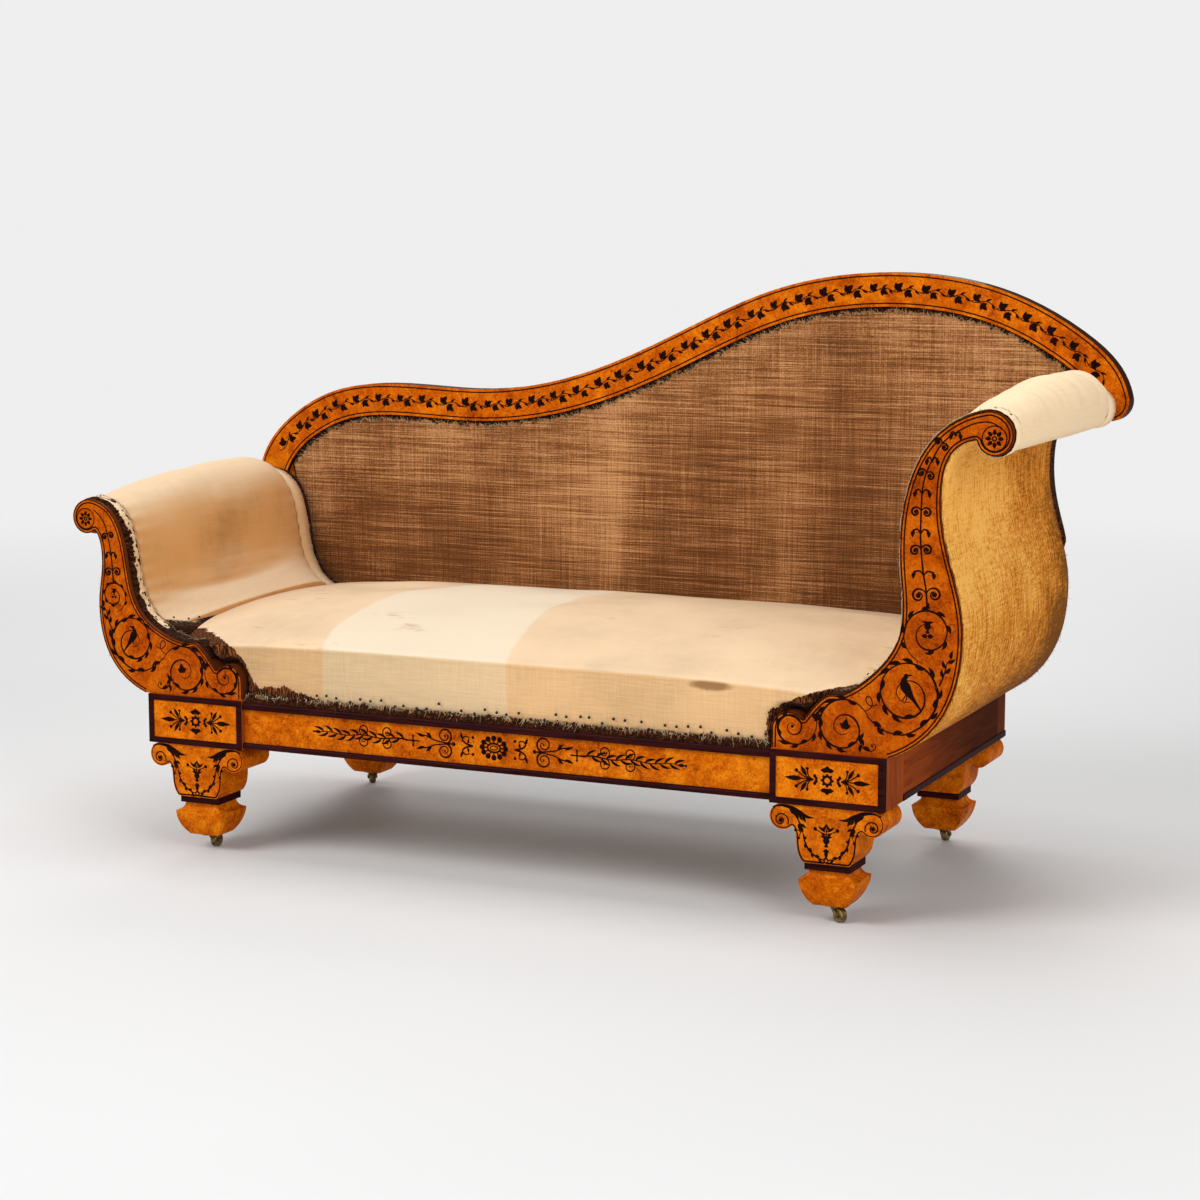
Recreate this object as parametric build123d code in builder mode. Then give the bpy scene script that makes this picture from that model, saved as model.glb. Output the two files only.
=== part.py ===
from build123d import *
import math
import os
from types import SimpleNamespace

# Meridienne: a day bed with one low and one high scrolled arm, a swept back rail
# and a stuffed seat, on four scrolled feet with brass castors.
# X runs along the seat (low arm at -X, high arm at +X), the front faces -Y, +Z is up.
# The origin is on the floor, in the middle of the whole object's length and depth.

# The whole height, up to the peak of the crest rail
overall_height = 983.0

# Seat frame, called the plinth
plinth_length = 1320.0
plinth_depth = 655.0
plinth_bottom = 187.0
plinth_height = 84.0
rail_thickness = 45.0
block_width = 185.0
block_depth = 91.0
block_frame_band = 10.0
block_frame_proud = 1.5
front_rail_setback = 10.0
front_rail_lift = 3.0
moulding_proud = 6.0
moulding_rounding = 3.5
top_moulding_height = 11.5
top_moulding_drop = 3.0
bottom_moulding_height = 9.0
bottom_moulding_depth = 24.0
end_moulding_height = 11.0
end_moulding_proud = 2.0
tack_lip_setback = 6.5
tack_lip_thickness = 6.0
brace_leg = 90.0
brace_height = 56.0
stretcher_width = 50.0
stretcher_height = 40.0
webbing_thickness = 4.0
webbing_bearing = 25.0

# Feet
foot_bottom = 27.6
capital_depth = 84.0
capital_volute_radius = 20.5
capital_volute_turn = 230.0
capital_waist_width = 96.0
capital_waist_rise = 24.0
capital_scroll_lead = (-1.0, -0.5)
capital_waist_lead = (-1.0, -1.0)
collar_width = 74.6
collar_depth = 71.6
collar_height = 12.0
collar_top = 97.3
foot_neck_width = 64.0
foot_neck_depth = 60.0
foot_rim_width = 92.4
foot_rim_depth = 78.0
foot_rim_height = 70.0
foot_sole_width = 54.0
foot_sole_depth = 48.0
foot_side_bow = 4.0
foot_neck_bow = 4.0

# Castors, with the way each one trails in the rest position, in degrees from +X
castor_plate_radius = 20.0
castor_plate_thickness = 2.0
castor_wheel_radius = 12.0
castor_wheel_width = 12.0
castor_wheel_rounding = 2.5
castor_trail = 15.0
castor_cheek_thickness = 2.0
castor_crown_thickness = 2.6
castor_crown_length = 18.0
castor_eye_radius = 4.5
castor_stem_radius = 3.0
castor_rivet_radius = 4.5
castor_rivet_height = 1.0
castor_axle_radius = 2.0
castor_axle_head_radius = 3.2
castor_axle_head_height = 1.0
castor_screw_radius = 1.5
castor_screw_head_radius = 2.6
castor_screw_length = 14.0
castor_screw_circle = 14.5
castor_screw_count = 3
castor_screw_start = 60.0
castor_gap = 0.3
cheek_gap = 0.5
running_clearance = 0.05
seat_clearance = 0.02
front_left_trail = 90.0
front_right_trail = -36.0
back_left_trail = 126.0
back_right_trail = 90.0

# Arm boards: out is measured from the plinth's end, up from the plinth's top
board_thickness = 36.0
board_setback = 6.0
toe_setback = 1.0
toe_radius = 28.0
toe_rise = 31.0
toe_cusp_angle = 37.0
volute_samples = 9
low_reach = 149.0
low_volute_up = 293.0
low_volute_top_radius = 36.0
low_volute_tip_radius = 24.0
low_volute_top_angle = 110.0
low_volute_tip_angle = -132.0
low_neck_out = 92.0
low_neck_up = 225.0
low_belly_out = 100.0
low_belly_up = 146.0
low_base_out = 10.0
low_shoulder_out = 58.0
low_shoulder_up = 284.0
low_waist_out = 40.0
low_waist_up = 205.0
low_knee_out = 10.0
low_knee_up = 130.0
high_reach = 186.0
high_volute_up = 487.5
high_volute_top_radius = 41.0
high_volute_tip_radius = 24.3
high_volute_top_angle = 105.0
high_volute_tip_angle = -172.0
high_neck_out = 78.0
high_neck_up = 391.0
high_belly_out = 115.0
high_belly_up = 190.0
high_base_out = 3.0
high_shoulder_out = 57.0
high_shoulder_up = 473.0
high_waist_out = 18.0
high_waist_up = 290.0
high_knee_out = 9.0
high_knee_up = 165.0
sweep_in = 79.0
sweep_up = 90.0
base_lead = (1.0, 0.4)
volute_lead = (-1.0, -0.2)
toe_lead = (-0.6, -0.8)

# Arm upholstery
roll_bar_radius = 13.0
pad_thickness = 42.0
pad_inset = 2.0
pad_gap = 0.5
pad_top_swell = 31.0
pad_shoulder_swell = 8.0
pad_side_swell = 1.0
pad_waist_swell = 0.5
pad_foot_up = 115.0
pad_inner_bow = 0.08
pad_shoulder_bow = 0.11
pad_roll_bow = 0.2
pad_crease_share = 0.9
pad_bend_out = 1.0
pad_stations = (0.0, 0.2, 0.5, 0.8, 1.0)
outer_cover_thickness = 4.0
outer_cover_stop = 0.8
outer_cover_samples = 9

# Crest rail: points of its top edge, as a run from its low or high end in shares of its
# whole run and a rise above the plinth's top in shares of the peak's rise
crest_reach = 209.0
crest_width = 58.0
crest_thickness = 34.5
crest_face_thickness = 12.0
crest_lip = 14.0
crest_tail_drop = 52.0
crest_low_points = (
    (0.0, 0.479),
    (0.0101, 0.528),
    (0.0429, 0.607),
    (0.096, 0.673),
    (0.172, 0.697),
    (0.281, 0.689),
    (0.399, 0.733),
)
crest_high_points = (
    (0.498, 0.829),
    (0.371, 0.958),
    (0.25, 1.0),
    (0.133, 0.962),
    (0.0507, 0.865),
    (0.0113, 0.778),
    (0.0, 0.712),
)
crest_hook_point = (0.0161, 0.66)
crest_hook_bow = 0.2
crest_samples = 25

# Back upholstery
back_rail_height = 60.0
canvas_thickness = 4.0
canvas_gap = 2.0
canvas_tack_drop = 8.0
canvas_hem = 10.0
canvas_start = 0.02
canvas_stop = 0.96
back_cover_thickness = 2.0
back_cover_lap = 25.0
back_cover_start = 0.01
back_cover_stop = 0.99
back_sheet_spread = 20.0

# Seat cushion: heights above the floor
seat_front_setback = 12.5
seat_front_draw = 5.0
seat_front_bow = 4.0
seat_ridge_height = 370.0
seat_ridge_end_height = 346.0
seat_crown_height = 428.0
seat_crown_end_height = 384.0
seat_back_height = 402.0
seat_back_end_height = 378.0
seat_crown_back = 60.0
seat_end_draw = 6.0
seat_end_flare_height = 70.0
seat_end_flare_bow = 0.1
seat_gap = 0.5
toe_gap = 2.0
seat_stations = (-1.0, -0.8, -0.45, 0.0, 0.45, 0.8, 1.0)

# Tacks
tack_radius = 2.4
tack_head = 1.6
tack_taper = 20.0
seat_tacks = 24
canvas_tacks = 28
seat_tack_margin = 20.0

# Places that follow from the sizes above
half_length = plinth_length / 2
half_depth = plinth_depth / 2
plinth_top = plinth_bottom + plinth_height
plinth_x = (low_reach - crest_reach) / 2
rail_inner_x = half_length - rail_thickness
block_inner_x = half_length - block_width
block_front = -half_depth + block_frame_proud
block_back = block_front + block_depth
front_rail_front = -half_depth + front_rail_setback
front_rail_bottom = plinth_bottom + front_rail_lift + bottom_moulding_height
front_rail_back = front_rail_front + rail_thickness
back_rail_front = half_depth - rail_thickness
tack_lip_front = front_rail_front + tack_lip_setback
seat_base = plinth_top + webbing_thickness
toe_reach = block_width - toe_setback
foot_x = half_length - block_width / 2
foot_y = half_depth - block_depth / 2
board_front = -half_depth + board_setback
board_back = board_front + board_thickness
crest_back = half_depth - back_cover_thickness
crest_front = crest_back - crest_thickness
crest_lip_front = crest_front + crest_face_thickness
rear_board_front = crest_front - board_thickness
canvas_front = crest_lip_front - canvas_thickness

low_arm = SimpleNamespace(
    side=-1,
    reach=low_reach,
    volute_up=low_volute_up,
    top_radius=low_volute_top_radius,
    tip_radius=low_volute_tip_radius,
    top_angle=low_volute_top_angle,
    tip_angle=low_volute_tip_angle,
    neck=(low_neck_out, low_neck_up),
    belly=(low_belly_out, low_belly_up),
    base=(low_base_out, 0),
    shoulder=(low_shoulder_out, low_shoulder_up),
    waist=(low_waist_out, low_waist_up),
    knee=(low_knee_out, low_knee_up),
)
high_arm = SimpleNamespace(
    side=1,
    reach=high_reach,
    volute_up=high_volute_up,
    top_radius=high_volute_top_radius,
    tip_radius=high_volute_tip_radius,
    top_angle=high_volute_top_angle,
    tip_angle=high_volute_tip_angle,
    neck=(high_neck_out, high_neck_up),
    belly=(high_belly_out, high_belly_up),
    base=(high_base_out, 0),
    shoulder=(high_shoulder_out, high_shoulder_up),
    waist=(high_waist_out, high_waist_up),
    knee=(high_knee_out, high_knee_up),
)
corners = {
    "front_left": (-1, -1, front_left_trail),
    "front_right": (1, -1, front_right_trail),
    "back_left": (-1, 1, back_left_trail),
    "back_right": (1, 1, back_right_trail),
}

os.makedirs("parts", exist_ok=True)


def keep(piece, name):
    """Label a finished piece and write it to its own file."""
    piece.part.label = name
    export_step(piece.part, f"parts/{name}.step")


def front_plane(back_y, x=plinth_x, z=0.0):
    """A plane seen from the front: X to the right, Z up, extruding towards the front."""
    return Plane(origin=(x, back_y, z), x_dir=(1, 0, 0), z_dir=(0, -1, 0))


def side_plane(x):
    """A plane seen from the right: Y to the right, Z up, extruding towards +X."""
    return Plane(origin=(x, 0, 0), x_dir=(0, 1, 0), z_dir=(1, 0, 0))


def arm_plane(arm, front_y, depth):
    """A plane whose X points out of the arm's end and Y up, filling front_y to front_y + depth."""
    corner_x = plinth_x + arm.side * half_length
    if arm.side > 0:
        return Plane((corner_x, front_y + depth, plinth_top), x_dir=(1, 0, 0), z_dir=(0, -1, 0))
    return Plane((corner_x, front_y, plinth_top), x_dir=(-1, 0, 0), z_dir=(0, 1, 0))


def polar(centre, radius, angle):
    """The point at an angle, in degrees, on a circle."""
    turn = math.radians(angle)
    return (centre[0] + radius * math.cos(turn), centre[1] + radius * math.sin(turn))


def bowed(start, end, bow):
    """A point beside the middle of a chord, to its left by a share of its length."""
    run = (end[0] - start[0], end[1] - start[1])
    middle = ((start[0] + end[0]) / 2, (start[1] + end[1]) / 2)
    return (middle[0] - run[1] * bow, middle[1] + run[0] * bow)


def slab(x_range, y_range, z_range):
    """A box given by its limits, measured from the plinth's middle in X."""
    with Locations((plinth_x + x_range[0], y_range[0], z_range[0])):
        Box(
            x_range[1] - x_range[0],
            y_range[1] - y_range[0],
            z_range[1] - z_range[0],
            align=(Align.MIN, Align.MIN, Align.MIN),
        )


# Plinth rails

with BuildPart() as front_seat_rail:
    with BuildSketch(side_plane(plinth_x - block_inner_x)):
        with BuildLine():
            Polyline(
                (front_rail_front, front_rail_bottom),
                (front_rail_back, front_rail_bottom),
                (front_rail_back, plinth_top),
                (tack_lip_front + tack_lip_thickness, plinth_top),
                (tack_lip_front + tack_lip_thickness, seat_base),
                (tack_lip_front, seat_base),
                (tack_lip_front, plinth_top - top_moulding_drop),
                (front_rail_front, plinth_top - top_moulding_drop),
                close=True,
            )
        make_face()
    extrude(amount=2 * block_inner_x)
keep(front_seat_rail, "front_seat_rail")

with BuildPart() as back_seat_rail:
    slab((-half_length, half_length), (back_rail_front, half_depth), (plinth_bottom, plinth_top))
keep(back_seat_rail, "back_seat_rail")


def end_rail(side, name):
    """A rail between the front corner block and the back rail."""
    x_range = sorted((side * rail_inner_x, side * half_length))
    with BuildPart() as rail:
        slab(x_range, (block_back, back_rail_front), (plinth_bottom, plinth_top))
    keep(rail, name)


def end_moulding(side, name):
    """A dark strip along the lower edge of an end rail's outer face."""
    x_range = sorted((side * half_length, side * (half_length + end_moulding_proud)))
    with BuildPart() as strip:
        slab(x_range, (block_back, half_depth), (plinth_bottom, plinth_bottom + end_moulding_height))
        face = strip.faces().sort_by(Axis.X)[-1 if side > 0 else 0]
        chamfer(face.edges().filter_by(Axis.Y), end_moulding_proud / 2)
    keep(strip, name)


def corner_block(side, name):
    """A deep block at a front corner, over the foot and under the arm."""
    x_range = sorted((side * block_inner_x, side * half_length))
    with BuildPart() as block:
        slab(x_range, (block_front, block_back), (plinth_bottom, plinth_top))
    keep(block, name)


def block_frame(side, name):
    """A dark frame let round the front face of a corner block."""
    with BuildPart() as frame:
        with BuildSketch(front_plane(block_front, plinth_x + side * foot_x, plinth_bottom)):
            with Locations((0, plinth_height / 2)):
                Rectangle(block_width, plinth_height)
                Rectangle(
                    block_width - 2 * block_frame_band,
                    plinth_height - 2 * block_frame_band,
                    mode=Mode.SUBTRACT,
                )
        extrude(amount=block_frame_proud)
    keep(frame, name)


for side, word in ((-1, "left"), (1, "right")):
    end_rail(side, f"{word}_end_rail")
    end_moulding(side, f"{word}_end_moulding")
    corner_block(side, f"front_{word}_block")
    block_frame(side, f"front_{word}_block_frame")

with BuildPart() as top_moulding:
    top_edge = plinth_top - top_moulding_drop
    slab(
        (-block_inner_x, block_inner_x),
        (front_rail_front - moulding_proud, front_rail_front),
        (top_edge - top_moulding_height, top_edge),
    )
    nose = top_moulding.faces().sort_by(Axis.Y)[0]
    fillet(nose.edges().filter_by(Axis.X).sort_by(Axis.Z)[-1], moulding_rounding)
keep(top_moulding, "front_rail_top_moulding")

with BuildPart() as bottom_moulding:
    slab(
        (-block_inner_x, block_inner_x),
        (front_rail_front - moulding_proud, front_rail_front - moulding_proud + bottom_moulding_depth),
        (front_rail_bottom - bottom_moulding_height, front_rail_bottom),
    )
    nose = bottom_moulding.faces().sort_by(Axis.Y)[0]
    fillet(nose.edges().filter_by(Axis.X).sort_by(Axis.Z)[-1], moulding_rounding)
keep(bottom_moulding, "front_rail_bottom_moulding")

with BuildPart() as corner_braces:
    brace_bottom = plinth_bottom + (plinth_height - brace_height) / 2
    for side in (-1, 1):
        for wall_y, inward in ((block_back, 1), (back_rail_front, -1)):
            with BuildSketch(Plane.XY.offset(brace_bottom)):
                with BuildLine():
                    Polyline(
                        (plinth_x + side * rail_inner_x, wall_y),
                        (plinth_x + side * (rail_inner_x - brace_leg), wall_y),
                        (plinth_x + side * rail_inner_x, wall_y + inward * brace_leg),
                        close=True,
                    )
                make_face()
            extrude(amount=brace_height)
keep(corner_braces, "corner_braces")

with BuildPart() as seat_stretcher:
    slab(
        (-stretcher_width / 2, stretcher_width / 2),
        (front_rail_back, back_rail_front),
        (front_rail_bottom, front_rail_bottom + stretcher_height),
    )
keep(seat_stretcher, "seat_stretcher")

toe_inner_x = half_length - toe_reach - toe_gap
with BuildPart() as seat_webbing:
    slab(
        (-toe_inner_x, toe_inner_x),
        (tack_lip_front + tack_lip_thickness, canvas_front - seat_gap),
        (plinth_top, seat_base),
    )
    slab(
        (-rail_inner_x - webbing_bearing, rail_inner_x + webbing_bearing),
        (board_back + seat_gap, rear_board_front - seat_gap),
        (plinth_top, seat_base),
    )
keep(seat_webbing, "seat_webbing")

# Feet


def foot_capital(x, y, name):
    """A bracket with two scrolls under the plinth, narrowing in an S to the collar."""
    scroll = (block_width / 2 - capital_volute_radius, plinth_bottom - capital_volute_radius)
    tip = polar(scroll, capital_volute_radius, 90 - capital_volute_turn)
    with BuildPart() as capital:
        with BuildSketch(front_plane(y + capital_depth / 2, x)):
            with BuildLine() as half:
                Line((0, plinth_bottom), (scroll[0], plinth_bottom))
                ThreePointArc(
                    (scroll[0], plinth_bottom),
                    polar(scroll, capital_volute_radius, 90 - capital_volute_turn / 2),
                    tip,
                )
                Spline(
                    tip,
                    (capital_waist_width / 2, collar_top + capital_waist_rise),
                    (collar_width / 2, collar_top),
                    tangents=[capital_scroll_lead, capital_waist_lead],
                )
                Line((collar_width / 2, collar_top), (0, collar_top))
                mirror(half.line, about=Plane.YZ)
            make_face()
        extrude(amount=capital_depth)
    keep(capital, name)


def foot_collar(x, y, name):
    """A flat dark slab between a foot's capital and its base."""
    with BuildPart() as collar:
        with BuildSketch(Plane((x, y, collar_top - collar_height))):
            Rectangle(collar_width, collar_depth)
        extrude(amount=collar_height)
    keep(collar, name)


def foot_outline(neck, rim, sole):
    """Half widths up a foot's base: a bowed side to a sharp rim, then a hollow neck."""
    neck_top = collar_top - collar_height
    points = [(sole / 2, foot_bottom), (rim / 2, foot_rim_height), (neck / 2, neck_top)]
    side_run = math.dist(points[0], points[1])
    neck_run = math.dist(points[1], points[2])
    with BuildLine() as half:
        Line((0, foot_bottom), points[0])
        ThreePointArc(points[0], bowed(points[0], points[1], -foot_side_bow / side_run), points[1])
        ThreePointArc(points[1], bowed(points[1], points[2], foot_neck_bow / neck_run), points[2])
        Line(points[2], (0, neck_top))
        mirror(half.line, about=Plane.YZ)
    return half.edges()


def castor_plane(x, y, trail, z=0.0):
    """A level plane at a castor's pivot whose X points the way the castor trails."""
    turn = math.radians(trail)
    return Plane((x, y, z), x_dir=(math.cos(turn), math.sin(turn), 0), z_dir=(0, 0, 1))


def foot_base(x, y, trail, name):
    """A square foot with bowed sides, made where a front outline and a side outline meet."""
    with BuildPart() as base:
        with BuildSketch(front_plane(y + foot_rim_depth / 2, x)):
            make_face(foot_outline(foot_neck_width, foot_rim_width, foot_sole_width))
        extrude(amount=foot_rim_depth)
        with BuildSketch(Plane((x - foot_rim_width / 2, y, 0), x_dir=(0, 1, 0), z_dir=(1, 0, 0))):
            make_face(foot_outline(foot_neck_depth, foot_rim_depth, foot_sole_depth))
        extrude(amount=foot_rim_width, mode=Mode.INTERSECT)
        with BuildSketch(castor_plane(x, y, trail, foot_bottom)):
            with PolarLocations(castor_screw_circle, castor_screw_count, start_angle=castor_screw_start):
                Circle(castor_screw_radius + running_clearance)
        extrude(amount=castor_screw_length, mode=Mode.SUBTRACT)
    keep(base, name)


# Castors

plate_bottom = foot_bottom - castor_plate_thickness
crown_top = plate_bottom - castor_gap
crown_bottom = crown_top - castor_crown_thickness
rivet_top = crown_bottom - castor_gap
cheek_inner = castor_wheel_width / 2 + cheek_gap
cheek_outer = cheek_inner + castor_cheek_thickness


def castor_plate(x, y, trail, name):
    """A round plate under the foot with a fixed stem, riveted over below the fork."""
    with BuildPart() as plate:
        with BuildSketch(castor_plane(x, y, trail, plate_bottom)):
            Circle(castor_plate_radius)
        extrude(amount=castor_plate_thickness)
        with BuildSketch(castor_plane(x, y, trail, rivet_top)):
            Circle(castor_stem_radius)
        extrude(amount=plate_bottom - rivet_top)
        with BuildSketch(castor_plane(x, y, trail, rivet_top - castor_rivet_height)):
            Circle(castor_rivet_radius)
        extrude(amount=castor_rivet_height)
        with Locations(castor_plane(x, y, trail, plate_bottom).location):
            with PolarLocations(castor_screw_circle, castor_screw_count, start_angle=castor_screw_start):
                Cone(
                    castor_screw_head_radius + running_clearance,
                    castor_screw_radius + running_clearance,
                    castor_plate_thickness,
                    align=(Align.CENTER, Align.CENTER, Align.MIN),
                    mode=Mode.SUBTRACT,
                )
    keep(plate, name)


def cheek_plane(x, y, trail, across):
    """An upright plane along the trail, offset sideways, extruding away from its left."""
    level = castor_plane(x, y, trail)
    origin = level.from_local_coords((0, across, 0))
    return Plane(origin, x_dir=level.x_dir, z_dir=-level.y_dir)


def castor_horn(x, y, trail, name):
    """A fork: a crown that turns on the stem and two cheeks that carry the axle."""
    with BuildPart() as horn:
        with BuildSketch(castor_plane(x, y, trail, crown_bottom)):
            Rectangle(castor_crown_length, 2 * cheek_outer)
            Circle(castor_stem_radius + running_clearance, mode=Mode.SUBTRACT)
        extrude(amount=castor_crown_thickness)
        for across in (cheek_outer, -cheek_inner):
            with BuildSketch(cheek_plane(x, y, trail, across)):
                with BuildLine():
                    Polyline(
                        (0, crown_bottom),
                        (castor_crown_length / 2, crown_bottom),
                        (castor_trail + castor_eye_radius, castor_wheel_radius),
                        (castor_trail - castor_eye_radius, castor_wheel_radius),
                        close=True,
                    )
                make_face()
                with Locations((castor_trail, castor_wheel_radius)):
                    Circle(castor_eye_radius)
                    Circle(castor_axle_radius + seat_clearance, mode=Mode.SUBTRACT)
            extrude(amount=castor_cheek_thickness)
    keep(horn, name)


def castor_axle(x, y, trail, name):
    """A pin through both cheeks with a small head at each end."""
    with BuildPart() as axle:
        end = cheek_outer + castor_axle_head_height
        with BuildSketch(cheek_plane(x, y, trail, end)):
            with Locations((castor_trail, castor_wheel_radius)):
                Circle(castor_axle_radius)
        extrude(amount=2 * end)
        for across in (end, -cheek_outer):
            with BuildSketch(cheek_plane(x, y, trail, across)):
                with Locations((castor_trail, castor_wheel_radius)):
                    Circle(castor_axle_head_radius)
            extrude(amount=castor_axle_head_height)
    keep(axle, name)


def castor_wheel(x, y, trail, name):
    """A barrel wheel with rounded edges and a running bore."""
    with BuildPart() as wheel:
        with BuildSketch(cheek_plane(x, y, trail, castor_wheel_width / 2)):
            with Locations((castor_trail, castor_wheel_radius)):
                Circle(castor_wheel_radius)
        extrude(amount=castor_wheel_width)
        fillet(wheel.edges().filter_by(GeomType.CIRCLE), castor_wheel_rounding)
        with BuildSketch(cheek_plane(x, y, trail, castor_wheel_width / 2)):
            with Locations((castor_trail, castor_wheel_radius)):
                Circle(castor_axle_radius + running_clearance)
        extrude(amount=castor_wheel_width, mode=Mode.SUBTRACT)
    keep(wheel, name)


for name, (side, end, trail) in corners.items():
    place = (plinth_x + side * foot_x, end * foot_y)
    foot_capital(*place, f"{name}_foot_capital")
    foot_collar(*place, f"{name}_foot_collar")
    foot_base(*place, trail, f"{name}_foot_base")
    castor_plate(*place, trail, f"{name}_castor_plate")
    castor_horn(*place, trail, f"{name}_castor_horn")
    castor_axle(*place, trail, f"{name}_castor_axle")
    castor_wheel(*place, trail, f"{name}_castor_wheel")

with BuildPart() as castor_screws:
    for side, end, trail in corners.values():
        level = castor_plane(plinth_x + side * foot_x, end * foot_y, trail, plate_bottom)
        with Locations(level.location):
            with PolarLocations(castor_screw_circle, castor_screw_count, start_angle=castor_screw_start):
                Cone(
                    castor_screw_head_radius,
                    castor_screw_radius,
                    castor_plate_thickness,
                    align=(Align.CENTER, Align.CENTER, Align.MIN),
                )
                Cylinder(
                    castor_screw_radius,
                    castor_screw_length,
                    align=(Align.CENTER, Align.CENTER, Align.MIN),
                )
keep(castor_screws, "castor_screws")

# Arms

toe_centre = (toe_radius - toe_reach, toe_rise)
toe_cusp = polar(toe_centre, toe_radius, toe_cusp_angle)


def volute_radius(arm, share):
    """The volute's radius after a share of its turn, drawing in from the top to the tip."""
    return arm.tip_radius + (arm.top_radius - arm.tip_radius) * (1 - share) ** 2


def volute_centre(arm):
    """The volute's centre, set so that its side reaches as far out as the arm does."""
    share = arm.top_angle / (arm.top_angle - arm.tip_angle)
    return (arm.reach - volute_radius(arm, share), arm.volute_up)


def volute_points(arm):
    """Points on the volute's spiral from its top round to its tip under the scroll."""
    centre = volute_centre(arm)
    shares = [i / (volute_samples - 1) for i in range(volute_samples)]
    turn = arm.tip_angle - arm.top_angle
    return [polar(centre, volute_radius(arm, s), arm.top_angle + s * turn) for s in shares]


def outer_sweep(arm):
    """The arm's outer S: out from the plinth, round the belly and in to the volute's tip."""
    tip = volute_points(arm)[-1]
    centre = volute_centre(arm)
    inward = (centre[0] - tip[0], centre[1] - tip[1])
    return Spline(
        arm.base,
        arm.belly,
        arm.neck,
        tip,
        tangents=[base_lead, (0, 1), (0, 1), inward],
        mode=Mode.PRIVATE,
    )


def inner_points(arm, gap=0.0):
    """Points of the arm's inner edge from the volute's top to the toe's cusp, moved in and up by a gap."""
    points = [volute_points(arm)[0], arm.shoulder, arm.waist, arm.knee, (-sweep_in, sweep_up), toe_cusp]
    return [(out - gap, up + 2 * gap) for out, up in points]


def inner_sweep(points):
    """The arm's inner edge through its points."""
    return Spline(*points, tangents=[volute_lead, toe_lead], mode=Mode.PRIVATE)


def arm_board(arm, front_y, name):
    """A scrolled board: outer S, volute, inner sweep and a small scroll at its toe."""
    with BuildPart() as board:
        with BuildSketch(arm_plane(arm, front_y, board_thickness)):
            with BuildLine():
                add(outer_sweep(arm))
                Spline(*reversed(volute_points(arm)))
                add(inner_sweep(inner_points(arm)))
                ThreePointArc(
                    toe_cusp,
                    polar(toe_centre, toe_radius, (180 + toe_cusp_angle) / 2),
                    (-toe_reach, toe_rise),
                )
                Polyline((-toe_reach, toe_rise), (-toe_reach, 0), arm.base)
            make_face()
        extrude(amount=board_thickness)
    keep(board, name)


def roll_bar(arm, name):
    """A round bar between the two boards that carries the arm's roll."""
    length = rear_board_front - board_back
    with BuildPart() as bar:
        with BuildSketch(arm_plane(arm, board_back, length)):
            with Locations(volute_centre(arm)):
                Circle(roll_bar_radius)
        extrude(amount=length)
    keep(bar, name)


def pad_outline(arm, swell):
    """An arm pad across its depth: inner face, roll and hidden back, at a share of its swell."""
    centre = volute_centre(arm)
    inner_foot = (arm.waist[0], pad_foot_up)
    inner_waist = (arm.waist[0] - swell * pad_waist_swell, arm.waist[1])
    shoulder = (arm.shoulder[0] - swell * pad_shoulder_swell, arm.shoulder[1] + swell * pad_top_swell / 2)
    top = (volute_points(arm)[0][0], volute_points(arm)[0][1] - pad_inset + swell * pad_top_swell)
    side = (arm.reach - pad_inset + swell * pad_side_swell, centre[1])
    under = (centre[0], centre[1] - arm.tip_radius)
    crease = (centre[0] - pad_crease_share * arm.tip_radius, centre[1])
    hidden_neck = (arm.neck[0] - 2 * outer_cover_thickness, arm.neck[1])
    hidden_bend = (arm.neck[0] + pad_bend_out, (arm.neck[1] + centre[1]) / 2 + 2 * outer_cover_thickness)
    hidden_foot = (arm.waist[0] + pad_thickness, pad_foot_up)
    with BuildLine() as outline:
        Line(inner_foot, inner_waist)
        ThreePointArc(inner_waist, bowed(inner_waist, shoulder, pad_inner_bow), shoulder)
        ThreePointArc(shoulder, bowed(shoulder, top, pad_shoulder_bow), top)
        ThreePointArc(top, bowed(top, side, pad_roll_bow), side)
        ThreePointArc(side, bowed(side, under, pad_roll_bow), under)
        ThreePointArc(under, bowed(under, crease, pad_roll_bow), crease)
        ThreePointArc(crease, hidden_bend, hidden_neck)
        Line(hidden_neck, hidden_foot)
        Line(hidden_foot, inner_foot)
    return outline.edges()


def arm_pad(arm, name):
    """A stuffed arm pad that swells between the two boards, bored for the roll bar."""
    front = board_back + pad_gap
    depth = rear_board_front - pad_gap - front
    with BuildPart() as pad:
        for share in pad_stations:
            with BuildSketch(arm_plane(arm, front + share * depth, 0)):
                make_face(pad_outline(arm, 4 * share * (1 - share)))
        loft()
        with BuildSketch(arm_plane(arm, front, depth)):
            with Locations(volute_centre(arm)):
                Circle(roll_bar_radius + pad_gap)
        extrude(amount=depth, mode=Mode.SUBTRACT)
    keep(pad, name)


def outer_cover(arm, name):
    """A sheet over the outside of the arm, from the plinth up to the neck under the roll."""
    sweep_line = outer_sweep(arm)
    stops = [outer_cover_stop * i / (outer_cover_samples - 1) for i in range(outer_cover_samples)]
    outside = [sweep_line.position_at(stop) for stop in stops]
    outside = [(point.X, point.Y) for point in outside]
    inside = [(x - outer_cover_thickness, y + outer_cover_thickness) for x, y in outside]
    heel = (arm.base[0] - 3 * outer_cover_thickness, 0)
    depth = rear_board_front - board_back
    with BuildPart() as cover:
        with BuildSketch(arm_plane(arm, board_back, depth)):
            with BuildLine():
                Spline(*outside)
                Line(outside[-1], inside[-1])
                Spline(*reversed(inside))
                Polyline(inside[0], heel, outside[0])
            make_face()
        extrude(amount=depth)
    keep(cover, name)


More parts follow.
